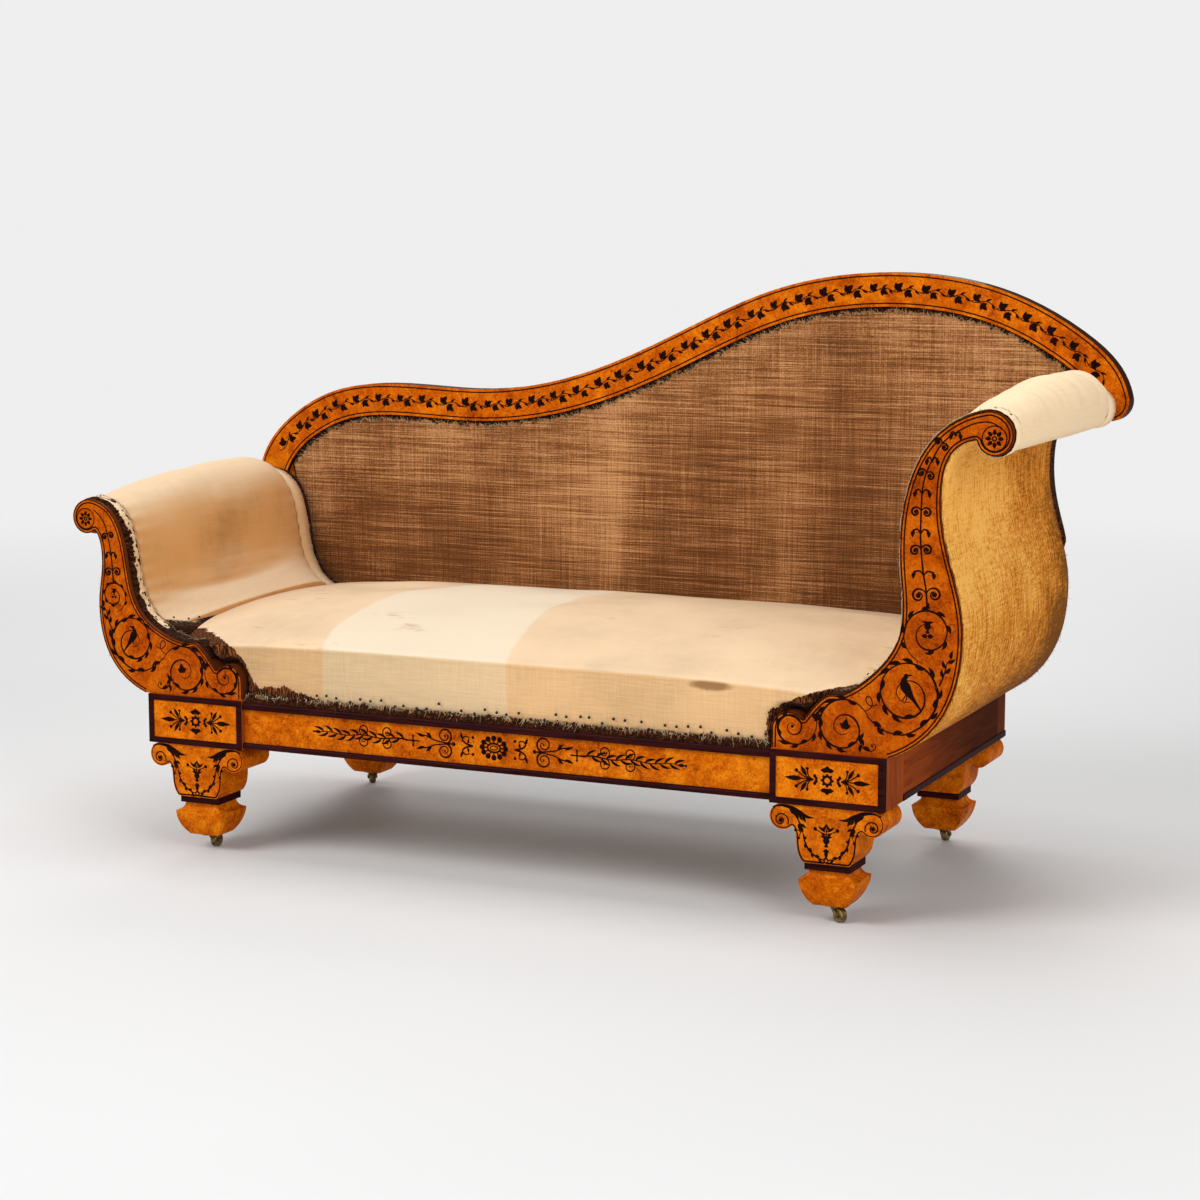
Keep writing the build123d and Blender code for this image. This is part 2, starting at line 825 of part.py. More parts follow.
for arm, word in ((low_arm, "left"), (high_arm, "right")):
    arm_board(arm, board_front, f"{word}_arm_front_board")
    arm_board(arm, rear_board_front, f"{word}_arm_back_board")
    roll_bar(arm, f"{word}_arm_roll_bar")
    arm_pad(arm, f"{word}_arm_pad")
    outer_cover(arm, f"{word}_arm_outer_cover")

# Back

left_end = -half_length - low_reach
right_end = half_length + crest_reach
crest_run = right_end - left_end
crest_rise = overall_height - plinth_top
crest_points = [(left_end + x * crest_run, plinth_top + z * crest_rise) for x, z in crest_low_points]
crest_points += [(right_end - x * crest_run, plinth_top + z * crest_rise) for x, z in crest_high_points]
crest_line = Spline(*crest_points)
crest_end = crest_points[-1]
crest_hook = (
    right_end - crest_hook_point[0] * crest_run,
    plinth_top + crest_hook_point[1] * crest_rise,
)


def under_crest(share, drop):
    """The point square below the crest's top edge, a share of the way along it."""
    place = crest_line.position_at(share)
    along = crest_line.tangent_at(share)
    return (place.X + along.Y * drop, place.Y - along.X * drop)


def under_crest_line(start, stop, drop):
    """Points that run parallel to the crest's top edge."""
    steps = [start + (stop - start) * i / (crest_samples - 1) for i in range(crest_samples)]
    return [under_crest(step, drop) for step in steps]


def crest_outline(width):
    """The crest's outline for a given width, with a straight tail behind the low arm."""
    tail = crest_points[0][1] - crest_tail_drop
    inner = under_crest_line(0, 1, width)
    with BuildLine() as outline:
        add(crest_line)
        ThreePointArc(crest_end, bowed(crest_end, crest_hook, crest_hook_bow), crest_hook)
        Line(crest_hook, inner[-1])
        Spline(*reversed(inner))
        Polyline(inner[0], (inner[0][0], tail), (left_end, tail), crest_points[0])
    return outline.edges()


with BuildPart() as crest_rail:
    with BuildSketch(front_plane(crest_lip_front)):
        make_face(crest_outline(crest_width))
    extrude(amount=crest_face_thickness)
    with BuildSketch(front_plane(crest_back)):
        make_face(crest_outline(crest_width + crest_lip))
    extrude(amount=crest_thickness - crest_face_thickness)
keep(crest_rail, "crest_rail")

with BuildPart() as back_lower_rail:
    slab(
        (-rail_inner_x, rail_inner_x),
        (crest_lip_front, crest_back),
        (plinth_top, plinth_top + back_rail_height),
    )
keep(back_lower_rail, "back_lower_rail")


def back_sheet(back_y, thickness, start, stop, drop, name):
    """A sheet stretched from the lower back rail up to a line along the crest."""
    edge = under_crest_line(start, stop, drop)
    hem = plinth_top + canvas_hem
    foot = half_length + back_sheet_spread
    with BuildPart() as sheet:
        with BuildSketch(front_plane(back_y)):
            with BuildLine():
                Spline(*edge)
                Polyline(edge[-1], (foot, hem), (-foot, hem), edge[0])
            make_face()
        extrude(amount=thickness)
    keep(sheet, name)


back_sheet(
    crest_lip_front,
    canvas_thickness,
    canvas_start,
    canvas_stop,
    crest_width + canvas_gap,
    "back_canvas",
)
back_sheet(
    half_depth,
    back_cover_thickness,
    back_cover_start,
    back_cover_stop,
    back_cover_lap,
    "back_cover",
)

# Seat

seat_left = -half_length - low_waist_out + seat_gap
seat_right = half_length + high_waist_out - seat_gap
seat_front = -half_depth + seat_front_setback
seat_back = canvas_front - seat_gap


def between(end_value, middle_value, station):
    """A height that stays near its middle value and falls away towards the ends."""
    return end_value + (middle_value - end_value) * (1 - station**4)


def board_room(arm):
    """The room that an arm board needs at the seat's corner, a small gap larger than the board."""
    edge = inner_points(arm, seat_gap)
    toe_top = toe_rise + toe_radius + seat_gap
    with BuildLine() as outline:
        add(inner_sweep(edge))
        Polyline(
            edge[-1],
            (edge[-1][0], toe_top),
            (-toe_reach - seat_gap, toe_top),
            (-toe_reach - seat_gap, 0),
            (arm.reach, 0),
            (arm.reach, edge[0][1]),
            edge[0],
        )
    return outline.edges()


with BuildPart() as seat_pad:
    for station in seat_stations:
        x = (seat_left + seat_right) / 2 + station * (seat_right - seat_left) / 2
        ridge = (seat_front, between(seat_ridge_end_height, seat_ridge_height, station))
        crown = (seat_crown_back, between(seat_crown_end_height, seat_crown_height, station))
        heel = (seat_back, between(seat_back_end_height, seat_back_height, station))
        front_foot = (seat_front + seat_front_draw, seat_base)
        with BuildSketch(side_plane(plinth_x + x)):
            with BuildLine():
                ThreePointArc(
                    front_foot,
                    bowed(front_foot, ridge, seat_front_bow / (ridge[1] - seat_base)),
                    ridge,
                )
                ThreePointArc(ridge, crown, heel)
                Polyline(heel, (seat_back, seat_base), front_foot)
            make_face()
    loft()
    with BuildSketch(front_plane(half_depth)):
        with BuildLine():
            flare = seat_base + seat_end_flare_height
            left_foot = (seat_end_draw - half_length, seat_base)
            right_foot = (half_length - seat_end_draw, seat_base)
            Line(left_foot, right_foot)
            right_flare = (seat_right, flare)
            left_flare = (seat_left, flare)
            ThreePointArc(right_foot, bowed(right_foot, right_flare, -seat_end_flare_bow), right_flare)
            Polyline(
                right_flare,
                (seat_right, seat_crown_height),
                (seat_left, seat_crown_height),
                left_flare,
            )
            ThreePointArc(left_flare, bowed(left_flare, left_foot, -seat_end_flare_bow), left_foot)
        make_face()
    extrude(amount=plinth_depth, mode=Mode.INTERSECT)
    for arm in (low_arm, high_arm):
        for front_y, back_y in (
            (-half_depth, board_back + seat_gap),
            (rear_board_front - seat_gap, half_depth),
        ):
            with BuildSketch(arm_plane(arm, front_y, back_y - front_y)):
                make_face(board_room(arm))
            extrude(amount=back_y - front_y, mode=Mode.SUBTRACT)
keep(seat_pad, "seat_pad")

# Tacks along the seat's front edge and along the top of the canvas

with BuildPart() as upholstery_tacks:
    with BuildSketch(front_plane(tack_lip_front)):
        row = 2 * (block_inner_x - seat_tack_margin)
        lip_middle = (plinth_top - top_moulding_drop + seat_base) / 2
        with Locations((0, lip_middle)):
            with GridLocations(row / (seat_tacks - 1), 1, seat_tacks, 1):
                Circle(tack_radius)
    extrude(amount=tack_head, taper=tack_taper)
    with BuildSketch(front_plane(canvas_front)):
        for i in range(canvas_tacks):
            share = canvas_start + (canvas_stop - canvas_start) * (i + 0.5) / canvas_tacks
            with Locations(under_crest(share, crest_width + canvas_gap + canvas_tack_drop)):
                Circle(tack_radius)
    extrude(amount=tack_head, taper=tack_taper)
keep(upholstery_tacks, "upholstery_tacks")
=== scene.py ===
"""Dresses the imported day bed: veneer, dark inlay, muslin, hessian, tacks and frayed edges.

Shapes are worked out in mm as whole numpy arrays and put into meshes in metres.
"""

import math

import bpy
import numpy as np
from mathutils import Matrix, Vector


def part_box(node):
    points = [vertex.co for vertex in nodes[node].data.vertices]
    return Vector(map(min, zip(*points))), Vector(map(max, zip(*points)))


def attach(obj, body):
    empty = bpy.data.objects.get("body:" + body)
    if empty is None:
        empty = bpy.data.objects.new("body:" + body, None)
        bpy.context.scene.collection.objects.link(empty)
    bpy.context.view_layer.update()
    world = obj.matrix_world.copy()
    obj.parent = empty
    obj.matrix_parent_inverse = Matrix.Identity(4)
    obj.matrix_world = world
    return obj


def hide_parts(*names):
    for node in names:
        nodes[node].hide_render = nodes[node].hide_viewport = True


bl_info = {
    "name": "Day bed",
    "version": (1, 0, 0),
    "blender": (4, 5, 0),
    "location": "View3D > Sidebar > Day bed",
    "description": "Veneer, inlay and upholstery of a scrolled day bed",
    "category": "Object",
}

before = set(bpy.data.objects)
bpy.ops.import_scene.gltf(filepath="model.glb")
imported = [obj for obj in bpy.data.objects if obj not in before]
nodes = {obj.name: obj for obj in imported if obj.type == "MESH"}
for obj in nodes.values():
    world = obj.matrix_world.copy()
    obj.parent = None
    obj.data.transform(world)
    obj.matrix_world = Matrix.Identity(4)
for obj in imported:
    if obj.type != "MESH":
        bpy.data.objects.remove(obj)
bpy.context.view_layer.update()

MM = 0.001
ROOT = "frame"
SEED = 1825
ARM_PAD_FOOT = 105.0
SEAT_RIDGE, SEAT_RIDGE_RISE = 345.0, 24.0
# Painted highlight: how much of a paler colour the high (right) arm's muslin takes, standing in for the
# stronger light on its roll.
HIGH_ARM_PAINTED_HIGHLIGHT = 0.85
MUSLIN_THREAD = (0.62, 0.46, 0.28)
SCRIM_THREAD = (0.60, 0.38, 0.18)
LINEN = (0.20, 0.13, 0.075)


def limits(node):
    """Lowest and highest corner of a CAD node, in mm."""
    low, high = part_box(node)
    return np.array(low) / MM, np.array(high) / MM


plinth_low, plinth_high = limits("back_seat_rail")
plinth_x = (plinth_low[0] + plinth_high[0]) / 2
half_length = (plinth_high[0] - plinth_low[0]) / 2
plinth_bottom, plinth_top = plinth_low[2], plinth_high[2]
board_front, board_back = (corner[1] for corner in limits("right_arm_front_board"))
rear_board_front = limits("right_arm_back_board")[0][1]
crest_front = limits("crest_rail")[0][1]
panel_low, panel_high = limits("front_seat_rail")
pad_low, pad_high = limits("seat_pad")

SIDES = {"left": -1, "right": 1}
CORNERS = ("front_left", "front_right", "back_left", "back_right")


def span(label, about, default):
    """A length property, with its default in mm."""
    return bpy.props.FloatProperty(name=label, description=about, default=default * MM, unit="LENGTH")


class DayBedSizes(bpy.types.PropertyGroup):
    """Sizes of the look that a user may change."""

    stringing_width: span("Stringing width", "Width of the dark line inside each edge", 2.4)
    stringing_inset: span("Stringing inset", "How far that line lies from the edge", 6.0)
    vine_pitch: span("Vine pitch", "Distance between the large leaves of the vine", 46.0)
    seat_crown: span("Seat crown", "Height of the seat's crown over the floor", pad_high[2])
    arm_swell: span("Arm swell", "How far an arm's roll swells over its boards", 30.0)
    fringe_length: span("Fringe length", "Length of the loose threads at frayed edges", 9.0)


def shade(label, about, default):
    """A colour property."""
    return bpy.props.FloatVectorProperty(
        name=label, description=about, default=default, subtype="COLOR", size=3, min=0.0, max=1.0)


class DayBedColours(bpy.types.PropertyGroup):
    """Colours of the finishes."""

    veneer_pale: shade("Veneer pale", "Lightest clouds of the burl veneer", (0.80, 0.235, 0.006))
    veneer_mid: shade("Veneer middle", "Main colour of the burl veneer", (0.54, 0.106, 0.0015))
    veneer_deep: shade("Veneer deep", "Darkest clouds of the burl veneer", (0.20, 0.027, 0.001))
    inlay: shade("Inlay", "Dark wood of the inlaid ornament", (0.009, 0.0025, 0.0015))
    amaranth: shade("Dark moulding", "Dark red wood of mouldings and frames", (0.024, 0.004, 0.004))
    edge_wood: shade("Board edge", "Polished edges of the boards and the crest", (0.15, 0.034, 0.008))
    frame_wood: shade("Frame wood", "Plain wood of the frame", (0.18, 0.033, 0.004))
    # On the arm pads the upright faces take the darker muslin colour as painted shade, and the faces that
    # look up take the paler seat colour as painted light.
    muslin: shade("Muslin", "Tan cotton on the upright faces", (0.66, 0.33, 0.115))
    muslin_seat_and_lit_top: shade("Muslin seat and lit top", "Paler cotton on top of the seat and the arms", (0.76, 0.56, 0.36))
    muslin_pale: shade("Muslin pale", "The paler middle of the seat", (0.80, 0.67, 0.50))
    hessian_dark: shade("Canvas dark", "Dark threads of the back canvas", (0.11, 0.040, 0.013))
    hessian_pale: shade("Canvas pale", "Pale threads of the back canvas", (0.56, 0.29, 0.125))
    golden: shade("Golden hessian", "Cloth on the outside of the arms", (0.63, 0.205, 0.013))
    stuffing: shade("Stuffing", "Dark hair and old cloth at the torn corners", (0.050, 0.015, 0.006))
    brass: shade("Brass", "Aged castor metal", (0.34, 0.23, 0.085))
    iron: shade("Iron", "Tacks and screws", (0.035, 0.033, 0.034))
    jute: shade("Webbing", "Jute bands under the seat", (0.34, 0.24, 0.14))
    floor: shade("Floor", "Studio floor", (0.74, 0.74, 0.74))


def colours():
    """The colours as they are set on the scene."""
    return bpy.context.scene.day_bed_colours


def sizes():
    """The sizes as they are set on the scene."""
    return bpy.context.scene.day_bed_sizes


class Term:
    """A socket's value. An expression on Terms adds the Math nodes that work it out."""

    def __init__(self, finish, socket):
        self.finish, self.socket = finish, socket

    def maths(self, operation, other, turned=False):
        first, second = (other, self) if turned else (self, other)
        return self.finish.add("ShaderNodeMath", {"operation": operation}, {0: first, 1: second})

    def __add__(self, other):
        return self.maths("ADD", other)

    def __sub__(self, other):
        return self.maths("SUBTRACT", other)

    def __rsub__(self, other):
        return self.maths("SUBTRACT", other, True)

    def __mul__(self, other):
        return self.maths("MULTIPLY", other)

    def __abs__(self):
        return self.maths("ABSOLUTE", 0.0)

    def over(self, level, soft):
        """0 below a level and 1 above it, with a soft step between."""
        return self.finish.add(
            "ShaderNodeMapRange", {"interpolation_type": "SMOOTHSTEP"},
            {"Value": self, "From Min": level - soft, "From Max": level + soft})


class Finish:
    """A material: one method adds any node, and the rest name the nodes that the finishes share."""

    def __init__(self, name):
        self.material = bpy.data.materials.new(name)
        self.material.use_nodes = True
        self.tree = self.material.node_tree
        self.shader = next(node for node in self.tree.nodes if node.type == "BSDF_PRINCIPLED")
        self.place = self.add("ShaderNodeTexCoord", {}, {}, "Object")

    def add(self, kind, settings, inputs, output=0):
        """A node of that kind: its settings first, then the values or links of its sockets."""
        node = self.tree.nodes.new(kind)
        for key, value in settings.items():
            if key == "stops":
                self.set_stops(node.color_ramp, value)
            else:
                setattr(node, key, value)
        self.feed(node, inputs)
        return Term(self, node.outputs[output])

    def set_stops(self, ramp, stops):
        """Places and colours of a ramp's stops."""
        while len(ramp.elements) < len(stops):
            ramp.elements.new(1.0)
        for element, (at, colour) in zip(ramp.elements, stops):
            element.position = at
            element.color = (*colour, 1.0)

    def feed(self, node, inputs):
        """Link Terms to a node's sockets and set the other values on them."""
        for key, value in inputs.items():
            socket = node.inputs[key]
            if isinstance(value, Term):
                self.tree.links.new(value.socket, socket)
            elif socket.type == "RGBA":
                socket.default_value = (*tuple(value)[:3], 1.0)
            else:
                socket.default_value = value

    def stretched(self, scale):
        """The place scaled along each axis."""
        return self.add("ShaderNodeMapping", {}, {"Vector": self.place, "Scale": scale}, "Vector")

    def noise(self, scale, detail=3.0, roughness=0.55, distortion=0.0, vector=None):
        """Noise at the place or at another vector."""
        return self.add(
            "ShaderNodeTexNoise", {},
            {"Vector": vector or self.place, "Scale": scale, "Detail": detail, "Roughness": roughness,
             "Distortion": distortion}, 0)

    def drawn(self, stretch, detail=3.0, roughness=0.55, distortion=0.0, scale=1.0):
        """Noise at the place scaled along each axis: it is drawn out along those with a small scale."""
        return self.noise(scale, detail, roughness, distortion, self.stretched(stretch))

    def cells(self, scale):
        """Distance from the nearest of many scattered points."""
        return self.add("ShaderNodeTexVoronoi", {}, {"Vector": self.place, "Scale": scale}, "Distance")

    def axis(self, name):
        """One coordinate of the place, in metres."""
        return self.add("ShaderNodeSeparateXYZ", {}, {"Vector": self.place}, name)

    def attribute(self, name):
        """A value stored on the mesh."""
        return self.add("ShaderNodeAttribute", {"attribute_name": name}, {}, "Fac")

    def facing(self, name):
        """How much a face looks along an axis, from 0 to 1."""
        normal = self.add("ShaderNodeNewGeometry", {}, {}, "Normal")
        return abs(self.add("ShaderNodeSeparateXYZ", {}, {"Vector": normal}, name))

    def ramp(self, share, stops):
        return self.add("ShaderNodeValToRGB", {"stops": stops}, {"Fac": share}, "Color")

    def mix(self, first, second, share):
        """The first colour at share 0 and the second at share 1."""
        return self.add("ShaderNodeMix", {"data_type": "RGBA"}, {0: share, 6: first, 7: second}, 2)

    def dim(self, colour, share):
        """A colour multiplied by a value."""
        return self.tinted(colour, self.add("ShaderNodeCombineColor", {}, {0: share, 1: share, 2: share}))

    def tinted(self, colour, tint):
        """A colour multiplied by another."""
        return self.add(
            "ShaderNodeMix", {"data_type": "RGBA", "blend_type": "MULTIPLY"}, {0: 1.0, 6: colour, 7: tint}, 2)

    def bump(self, height, strength, distance):
        return self.add(
            "ShaderNodeBump", {}, {"Height": height, "Strength": strength, "Distance": distance}, "Normal")

    def done(self, **inputs):
        """Feed the shader. Words with an underscore are its sockets' names with a space."""
        self.feed(self.shader, {key.replace("_", " "): value for key, value in inputs.items()})
        return self.material


def shared(make):
    """A finish that is made once: later calls find its material by the name kept from the first."""
    names = {}

    def find(*about):
        material = bpy.data.materials.get(names.get(about, ""))
        if material is None:
            material = make(*about)
            names[about] = material.name
        return material

    return find


def burl_colour(finish):
    """Burl: soft clouds, fine curly figure and small dark eyes that gather in groups."""
    tones = colours()
    curl = finish.noise(80.0, 4.0, 0.62, 2.6)
    cloud = finish.noise(17.0, 4.0, 0.6, 1.4)
    wood = finish.ramp(
        cloud * 0.52 + curl * 0.48,
        [(0.33, tones.veneer_deep), (0.48, tones.veneer_mid), (0.64, tones.veneer_pale)])
    eyes = 1 - finish.cells(170.0).over(0.20, 0.09)
    groups = finish.noise(26.0, 2.0).over(0.50, 0.10)
    pores = finish.drawn((900.0, 900.0, 160.0), 2.0).over(0.64, 0.08)
    marked = finish.mix(wood, tones.veneer_deep, eyes * groups * 0.85)
    return finish.mix(marked, tones.veneer_deep, pores * 0.35), curl


def polished(finish, colour, curl, gloss=0.18, shine=0.06, index=1.07):
    """French polish over wood: a thin coat, a little unevenness and worn matt patches."""
    wear = finish.noise(21.0, 3.0)
    return finish.done(
        Base_Color=colour, Roughness=wear * 0.16 + gloss, Coat_Weight=0.04, Coat_Roughness=0.1,
        Specular_IOR_Level=shine, IOR=index, Normal=finish.bump(curl, 0.05, 0.4 * MM))


def veneer_finish():
    """Burl veneer all over."""
    finish = Finish("burl_veneer")
    colour, curl = burl_colour(finish)
    return polished(finish, colour, curl)


def faced_finish(name, tint, side):
    """Tinted burl veneer on the front face, plain polished wood of the side's colour on the edges."""
    finish = Finish(name)
    colour, curl = burl_colour(finish)
    grain = finish.drawn((12.0, 240.0, 12.0), 3.0)
    edge = finish.ramp(grain, [(0.3, darker(side, 0.45)), (0.7, side)])
    front = finish.facing("Y").over(0.9, 0.05)
    return polished(finish, finish.mix(edge, finish.tinted(colour, tint), front), curl, index=1.04)


def grained_finish(name, scale, dark, pale, gloss, shine=0.08, index=1.08, painted_light_falloff=0.0):
    """Plain wood whose grain runs along the axis with the small scale; a falloff, when given, paints it
    brighter at the front and darker to the rear, as painted light and shade.
    """
    finish = Finish(name)
    grain = finish.drawn(scale, 5.0, 0.6, 0.6)
    patches = finish.noise(7.0, 2.0)
    wood = finish.ramp(grain * 0.75 + patches * 0.25, [(0.32, dark), (0.66, pale)])
    if painted_light_falloff:
        # Painted light and shade: the falloff brightens the front of the piece and darkens it towards the
        # rear.
        wood = finish.dim(wood, 1.0 + painted_light_falloff - finish.axis("Y").over(-0.08, 0.24) * painted_light_falloff * 1.5)
    return polished(finish, wood, grain, gloss, shine, index)


def darker(colour, share):
    """A colour at a share of its strength."""
    return tuple(channel * share for channel in tuple(colour)[:3])


def wood_finishes():
    """The woods, by the name of their use."""
    tones = colours()
    return {
        "veneer": veneer_finish(),
        "boards": faced_finish("faced_boards", (0.76, 0.60, 0.5), tones.edge_wood),
        "crest": faced_finish("faced_crest", (0.90, 0.82, 0.7), darker(tones.edge_wood, 0.3)),
        "blocks": faced_finish("faced_blocks", (1.0, 0.97, 0.9), darker(tones.frame_wood, 2.1)),
        "dark": grained_finish(
            "dark_moulding", (14.0, 160.0, 220.0), darker(tones.amaranth, 0.35), darker(tones.amaranth, 1.7),
            0.20, 0.10),
        # The end rails carry painted light and shade by their last argument: brighter at the front, darker
        # towards the rear.
        "rail": grained_finish(
            "end_rail_wood", (150.0, 9.0, 120.0), darker(tones.frame_wood, 0.45), tones.frame_wood,
            0.45, 0.03, 1.03, 1.05),
        "plain": grained_finish(
            "frame_wood", (8.0, 110.0, 130.0), darker(tones.frame_wood, 0.4), darker(tones.frame_wood, 0.9),
            0.5),
    }


@shared
def inlay_finish():
    """Dark wood let into the veneer, with a faint red grain."""
    tones = colours()
    return grained_finish(
        "inlaid_wood", (60.0, 60.0, 260.0), darker(tones.inlay, 0.6), darker(tones.inlay, 1.8), 0.45, 0.03)


def brass_finish():
    """Aged brass: dark in the hollows, brighter where it is rubbed."""
    tones = colours()
    finish = Finish("aged_brass")
    age = finish.noise(160.0, 4.0, 0.65)
    metal = finish.ramp(age, [(0.35, darker(tones.brass, 0.22)), (0.62, tones.brass)])
    return finish.done(
        Base_Color=metal, Metallic=0.9, Roughness=0.62 - age * 0.4,
        Normal=finish.bump(age, 0.15, 0.3 * MM))


@shared
def iron_finish():
    """Blued iron of tacks and screws."""
    tones = colours()
    finish = Finish("blued_iron")
    rust = finish.noise(300.0, 3.0)
    metal = finish.ramp(rust, [(0.35, darker(tones.iron, 0.5)), (0.7, tones.iron)])
    return finish.done(Base_Color=metal, Metallic=0.7, Roughness=0.75 - rust * 0.35)


def cloth_threads(finish, scale_along, scale_across):
    """Uneven threads both ways: noise drawn out along each thread's own run."""
    along = finish.drawn(scale_along, 3.0, 0.6)
    across = finish.drawn(scale_across, 3.0, 0.6)
    return along, across


def fabric(finish, colour, height, strength=0.35, depth=0.5 * MM):
    """Matt woven cloth."""
    return finish.done(
        Base_Color=colour, Roughness=0.9, Specular_IOR_Level=0.1, IOR=1.1, Sheen_Weight=0.03,
        Sheen_Roughness=0.5, Normal=finish.bump(height, strength, depth))


@shared
def arm_muslin_finish():
    """Tan cotton with faint slubs, soft stains, a darker torn rim where it was tacked, and painted light and
    shade: paler on top, darker on upright faces.
    """
    tones = colours()
    finish = Finish("arm_muslin")
    weft, warp = cloth_threads(finish, (24.0, 420.0, 24.0), (260.0, 18.0, 260.0))
    slub = weft * 0.5 + warp * 0.5
    cloud = finish.noise(6.0, 4.0, 0.6)
    upright = finish.ramp(
        cloud * 0.7 + slub * 0.3,
        [(0.30, darker(tones.muslin, 0.62)), (0.50, darker(tones.muslin, 0.92)), (0.70, tones.muslin)])
    top = finish.dim(tones.muslin_seat_and_lit_top, slub * 0.3 + 0.85)
    # Painted light and shade: faces that look up take the paler top colour, and upright faces take the darker
    # ramp.
    base = finish.mix(upright, top, finish.facing("Z").over(0.5, 0.4))
    # Painted highlight: the 'pale' attribute lightens the high arm's muslin where its roll is strongly lit.
    base = finish.mix(base, finish.dim((0.93, 0.72, 0.47), slub * 0.3 + 0.85), finish.attribute("pale"))
    rim = finish.attribute("rim") + (finish.noise(140.0, 3.0) - 0.5) * 0.5
    soiled = finish.mix(base, darker(tones.muslin, 0.42), rim.over(0.62, 0.16) * 0.8)
    return fabric(finish, soiled, slub, 0.3)


def seat_muslin_finish():
    """The seat's cotton: a paler middle with curved sides, a darker, warmer front band as painted shade,
    darkest at the left, and a torn dark hem.
    """
    tones = colours()
    finish = Finish("seat_muslin")
    weft, warp = cloth_threads(finish, (20.0, 380.0, 380.0), (420.0, 16.0, 16.0))
    slub = weft * 0.55 + warp * 0.45
    cloud = finish.noise(5.0, 4.0, 0.6)
    side, depth, height = (finish.axis(name) for name in "XYZ")
    front = finish.attribute("front")
    waver = (finish.noise(30.0, 2.0) - 0.5) * 0.01
    bow, reach = depth + 0.13, depth - 0.031
    left = side - (plinth_x * MM - 0.357) - bow * bow * 0.975 + waver
    right = (plinth_x * MM - 0.032) - side + reach * reach * 0.422 + waver
    pale = left.over(0.0, 0.004) * right.over(0.0, 0.004)
    tan = finish.ramp(
        cloud * 0.7 + slub * 0.3,
        [(0.30, darker(tones.muslin_seat_and_lit_top, 0.80)), (0.52, tones.muslin_seat_and_lit_top),
         (0.72, darker(tones.muslin_seat_and_lit_top, 1.08))])
    fresh = finish.ramp(
        cloud * 0.5 + slub * 0.5, [(0.30, darker(tones.muslin_pale, 0.93)), (0.7, tones.muslin_pale)])
    cloth = finish.mix(tan, fresh, pale)
    # Painted shade: the front band under the ridge is darkened and warmed, and darker still towards the left
    # end.
    shaded = finish.dim(cloth, slub * 0.5 + 0.52 + side.over(-0.15, 0.3) * 0.17)
    cloth = finish.mix(cloth, finish.tinted(shaded, (1.0, 0.84, 0.64)), front)
    blots = finish.drawn((3.0, 6.0, 6.0), 3.0, 0.6, scale=3.1).over(0.70, 0.06)
    cloth = finish.mix(cloth, darker(tones.muslin, 0.55), blots * 0.4)
    ragged = finish.drawn((120.0, 50.0, 50.0), 4.0, 0.75) - 0.5
    torn = (finish.attribute("bare") + ragged * 1.1).over(0.5, 0.04)
    stain = (side - (plinth_x * MM + 0.372)) * 26.0
    drop = (height - 0.360) * 110.0
    spot = 1 - (stain * stain + drop * drop + ragged * 0.8).over(0.8, 0.5)
    cloth = finish.mix(cloth, (0.20, 0.085, 0.025), spot * front * 0.75)
    hair = finish.drawn((420.0, 420.0, 60.0), 3.0)
    dark = finish.ramp(
        hair, [(0.38, darker(tones.stuffing, 0.3)), (0.50, tones.stuffing), (0.62, (0.24, 0.075, 0.020))])
    return fabric(finish, finish.mix(cloth, dark, torn), slub + torn * hair * 2.0, 0.3)


def canvas_finish():
    """Brown scrim: level slubs over upright threads, paler left of the middle and darker at the foot, the
    last as painted shade above the seat.
    """
    tones = colours()
    finish = Finish("back_scrim")
    weft, warp = cloth_threads(finish, (9.0, 9.0, 820.0), (760.0, 9.0, 9.0))
    coarse = finish.drawn((4.0, 4.0, 260.0), 2.0)
    speck = finish.noise(420.0, 2.0, 0.6)
    thread = weft * 0.46 + warp * 0.22 + coarse * 0.12 + speck * 0.20
    wide = finish.drawn((9.0, 9.0, 0.8), 2.0)
    along_back = finish.axis("X")
    worn = along_back.over(-0.45, 0.16) * (1 - along_back.over(0.02, 0.22))
    cloud = finish.noise(4.0, 3.0)
    height = finish.axis("Z")
    # Painted shade: the foot of the canvas, just over the seat, is darkened.
    foot = 1 - height.over(0.50, 0.12)
    seam = along_back.over(plinth_x * MM + 0.249, 0.004)
    level = thread * 1.05 - 0.05 + (wide - 0.5) * 0.10 + (cloud - 0.5) * 0.24 - foot * 0.05
    level = level + seam * 0.02 + worn * 0.03 - 0.008
    cloth = finish.ramp(
        level,
        [(0.40, tones.hessian_dark), (0.48, (0.26, 0.100, 0.034)), (0.58, tones.hessian_pale)])
    return fabric(finish, cloth, thread, 0.6, 0.8 * MM)


@shared
def outer_hessian_finish():
    """Golden coarse hessian, paler along the front edge and darker, browner towards the back and the foot:
    painted light and shade.
    """
    tones = colours()
    finish = Finish("arm_hessian")
    weft, warp = cloth_threads(finish, (300.0, 300.0, 14.0), (24.0, 24.0, 300.0))
    depth = finish.axis("Y")
    fleck = finish.noise(210.0, 3.0, 0.7)
    cloud = finish.noise(6.0, 3.0)
    foot = 1 - finish.axis("Z").over(0.40, 0.14)
    # Painted light and shade: paler at the front edge, darker towards the back and the foot.
    level = weft * 0.46 + warp * 0.22 + fleck * 0.36 + cloud * 0.34 - depth * 0.32 - foot * 0.15 - 0.155
    cloth = finish.ramp(
        level,
        [(0.38, darker(tones.golden, 0.30)), (0.49, tones.golden), (0.62, (0.88, 0.47, 0.10))])
    return fabric(finish, cloth, weft * 0.5 + fleck * 0.5, 0.6, 0.8 * MM)


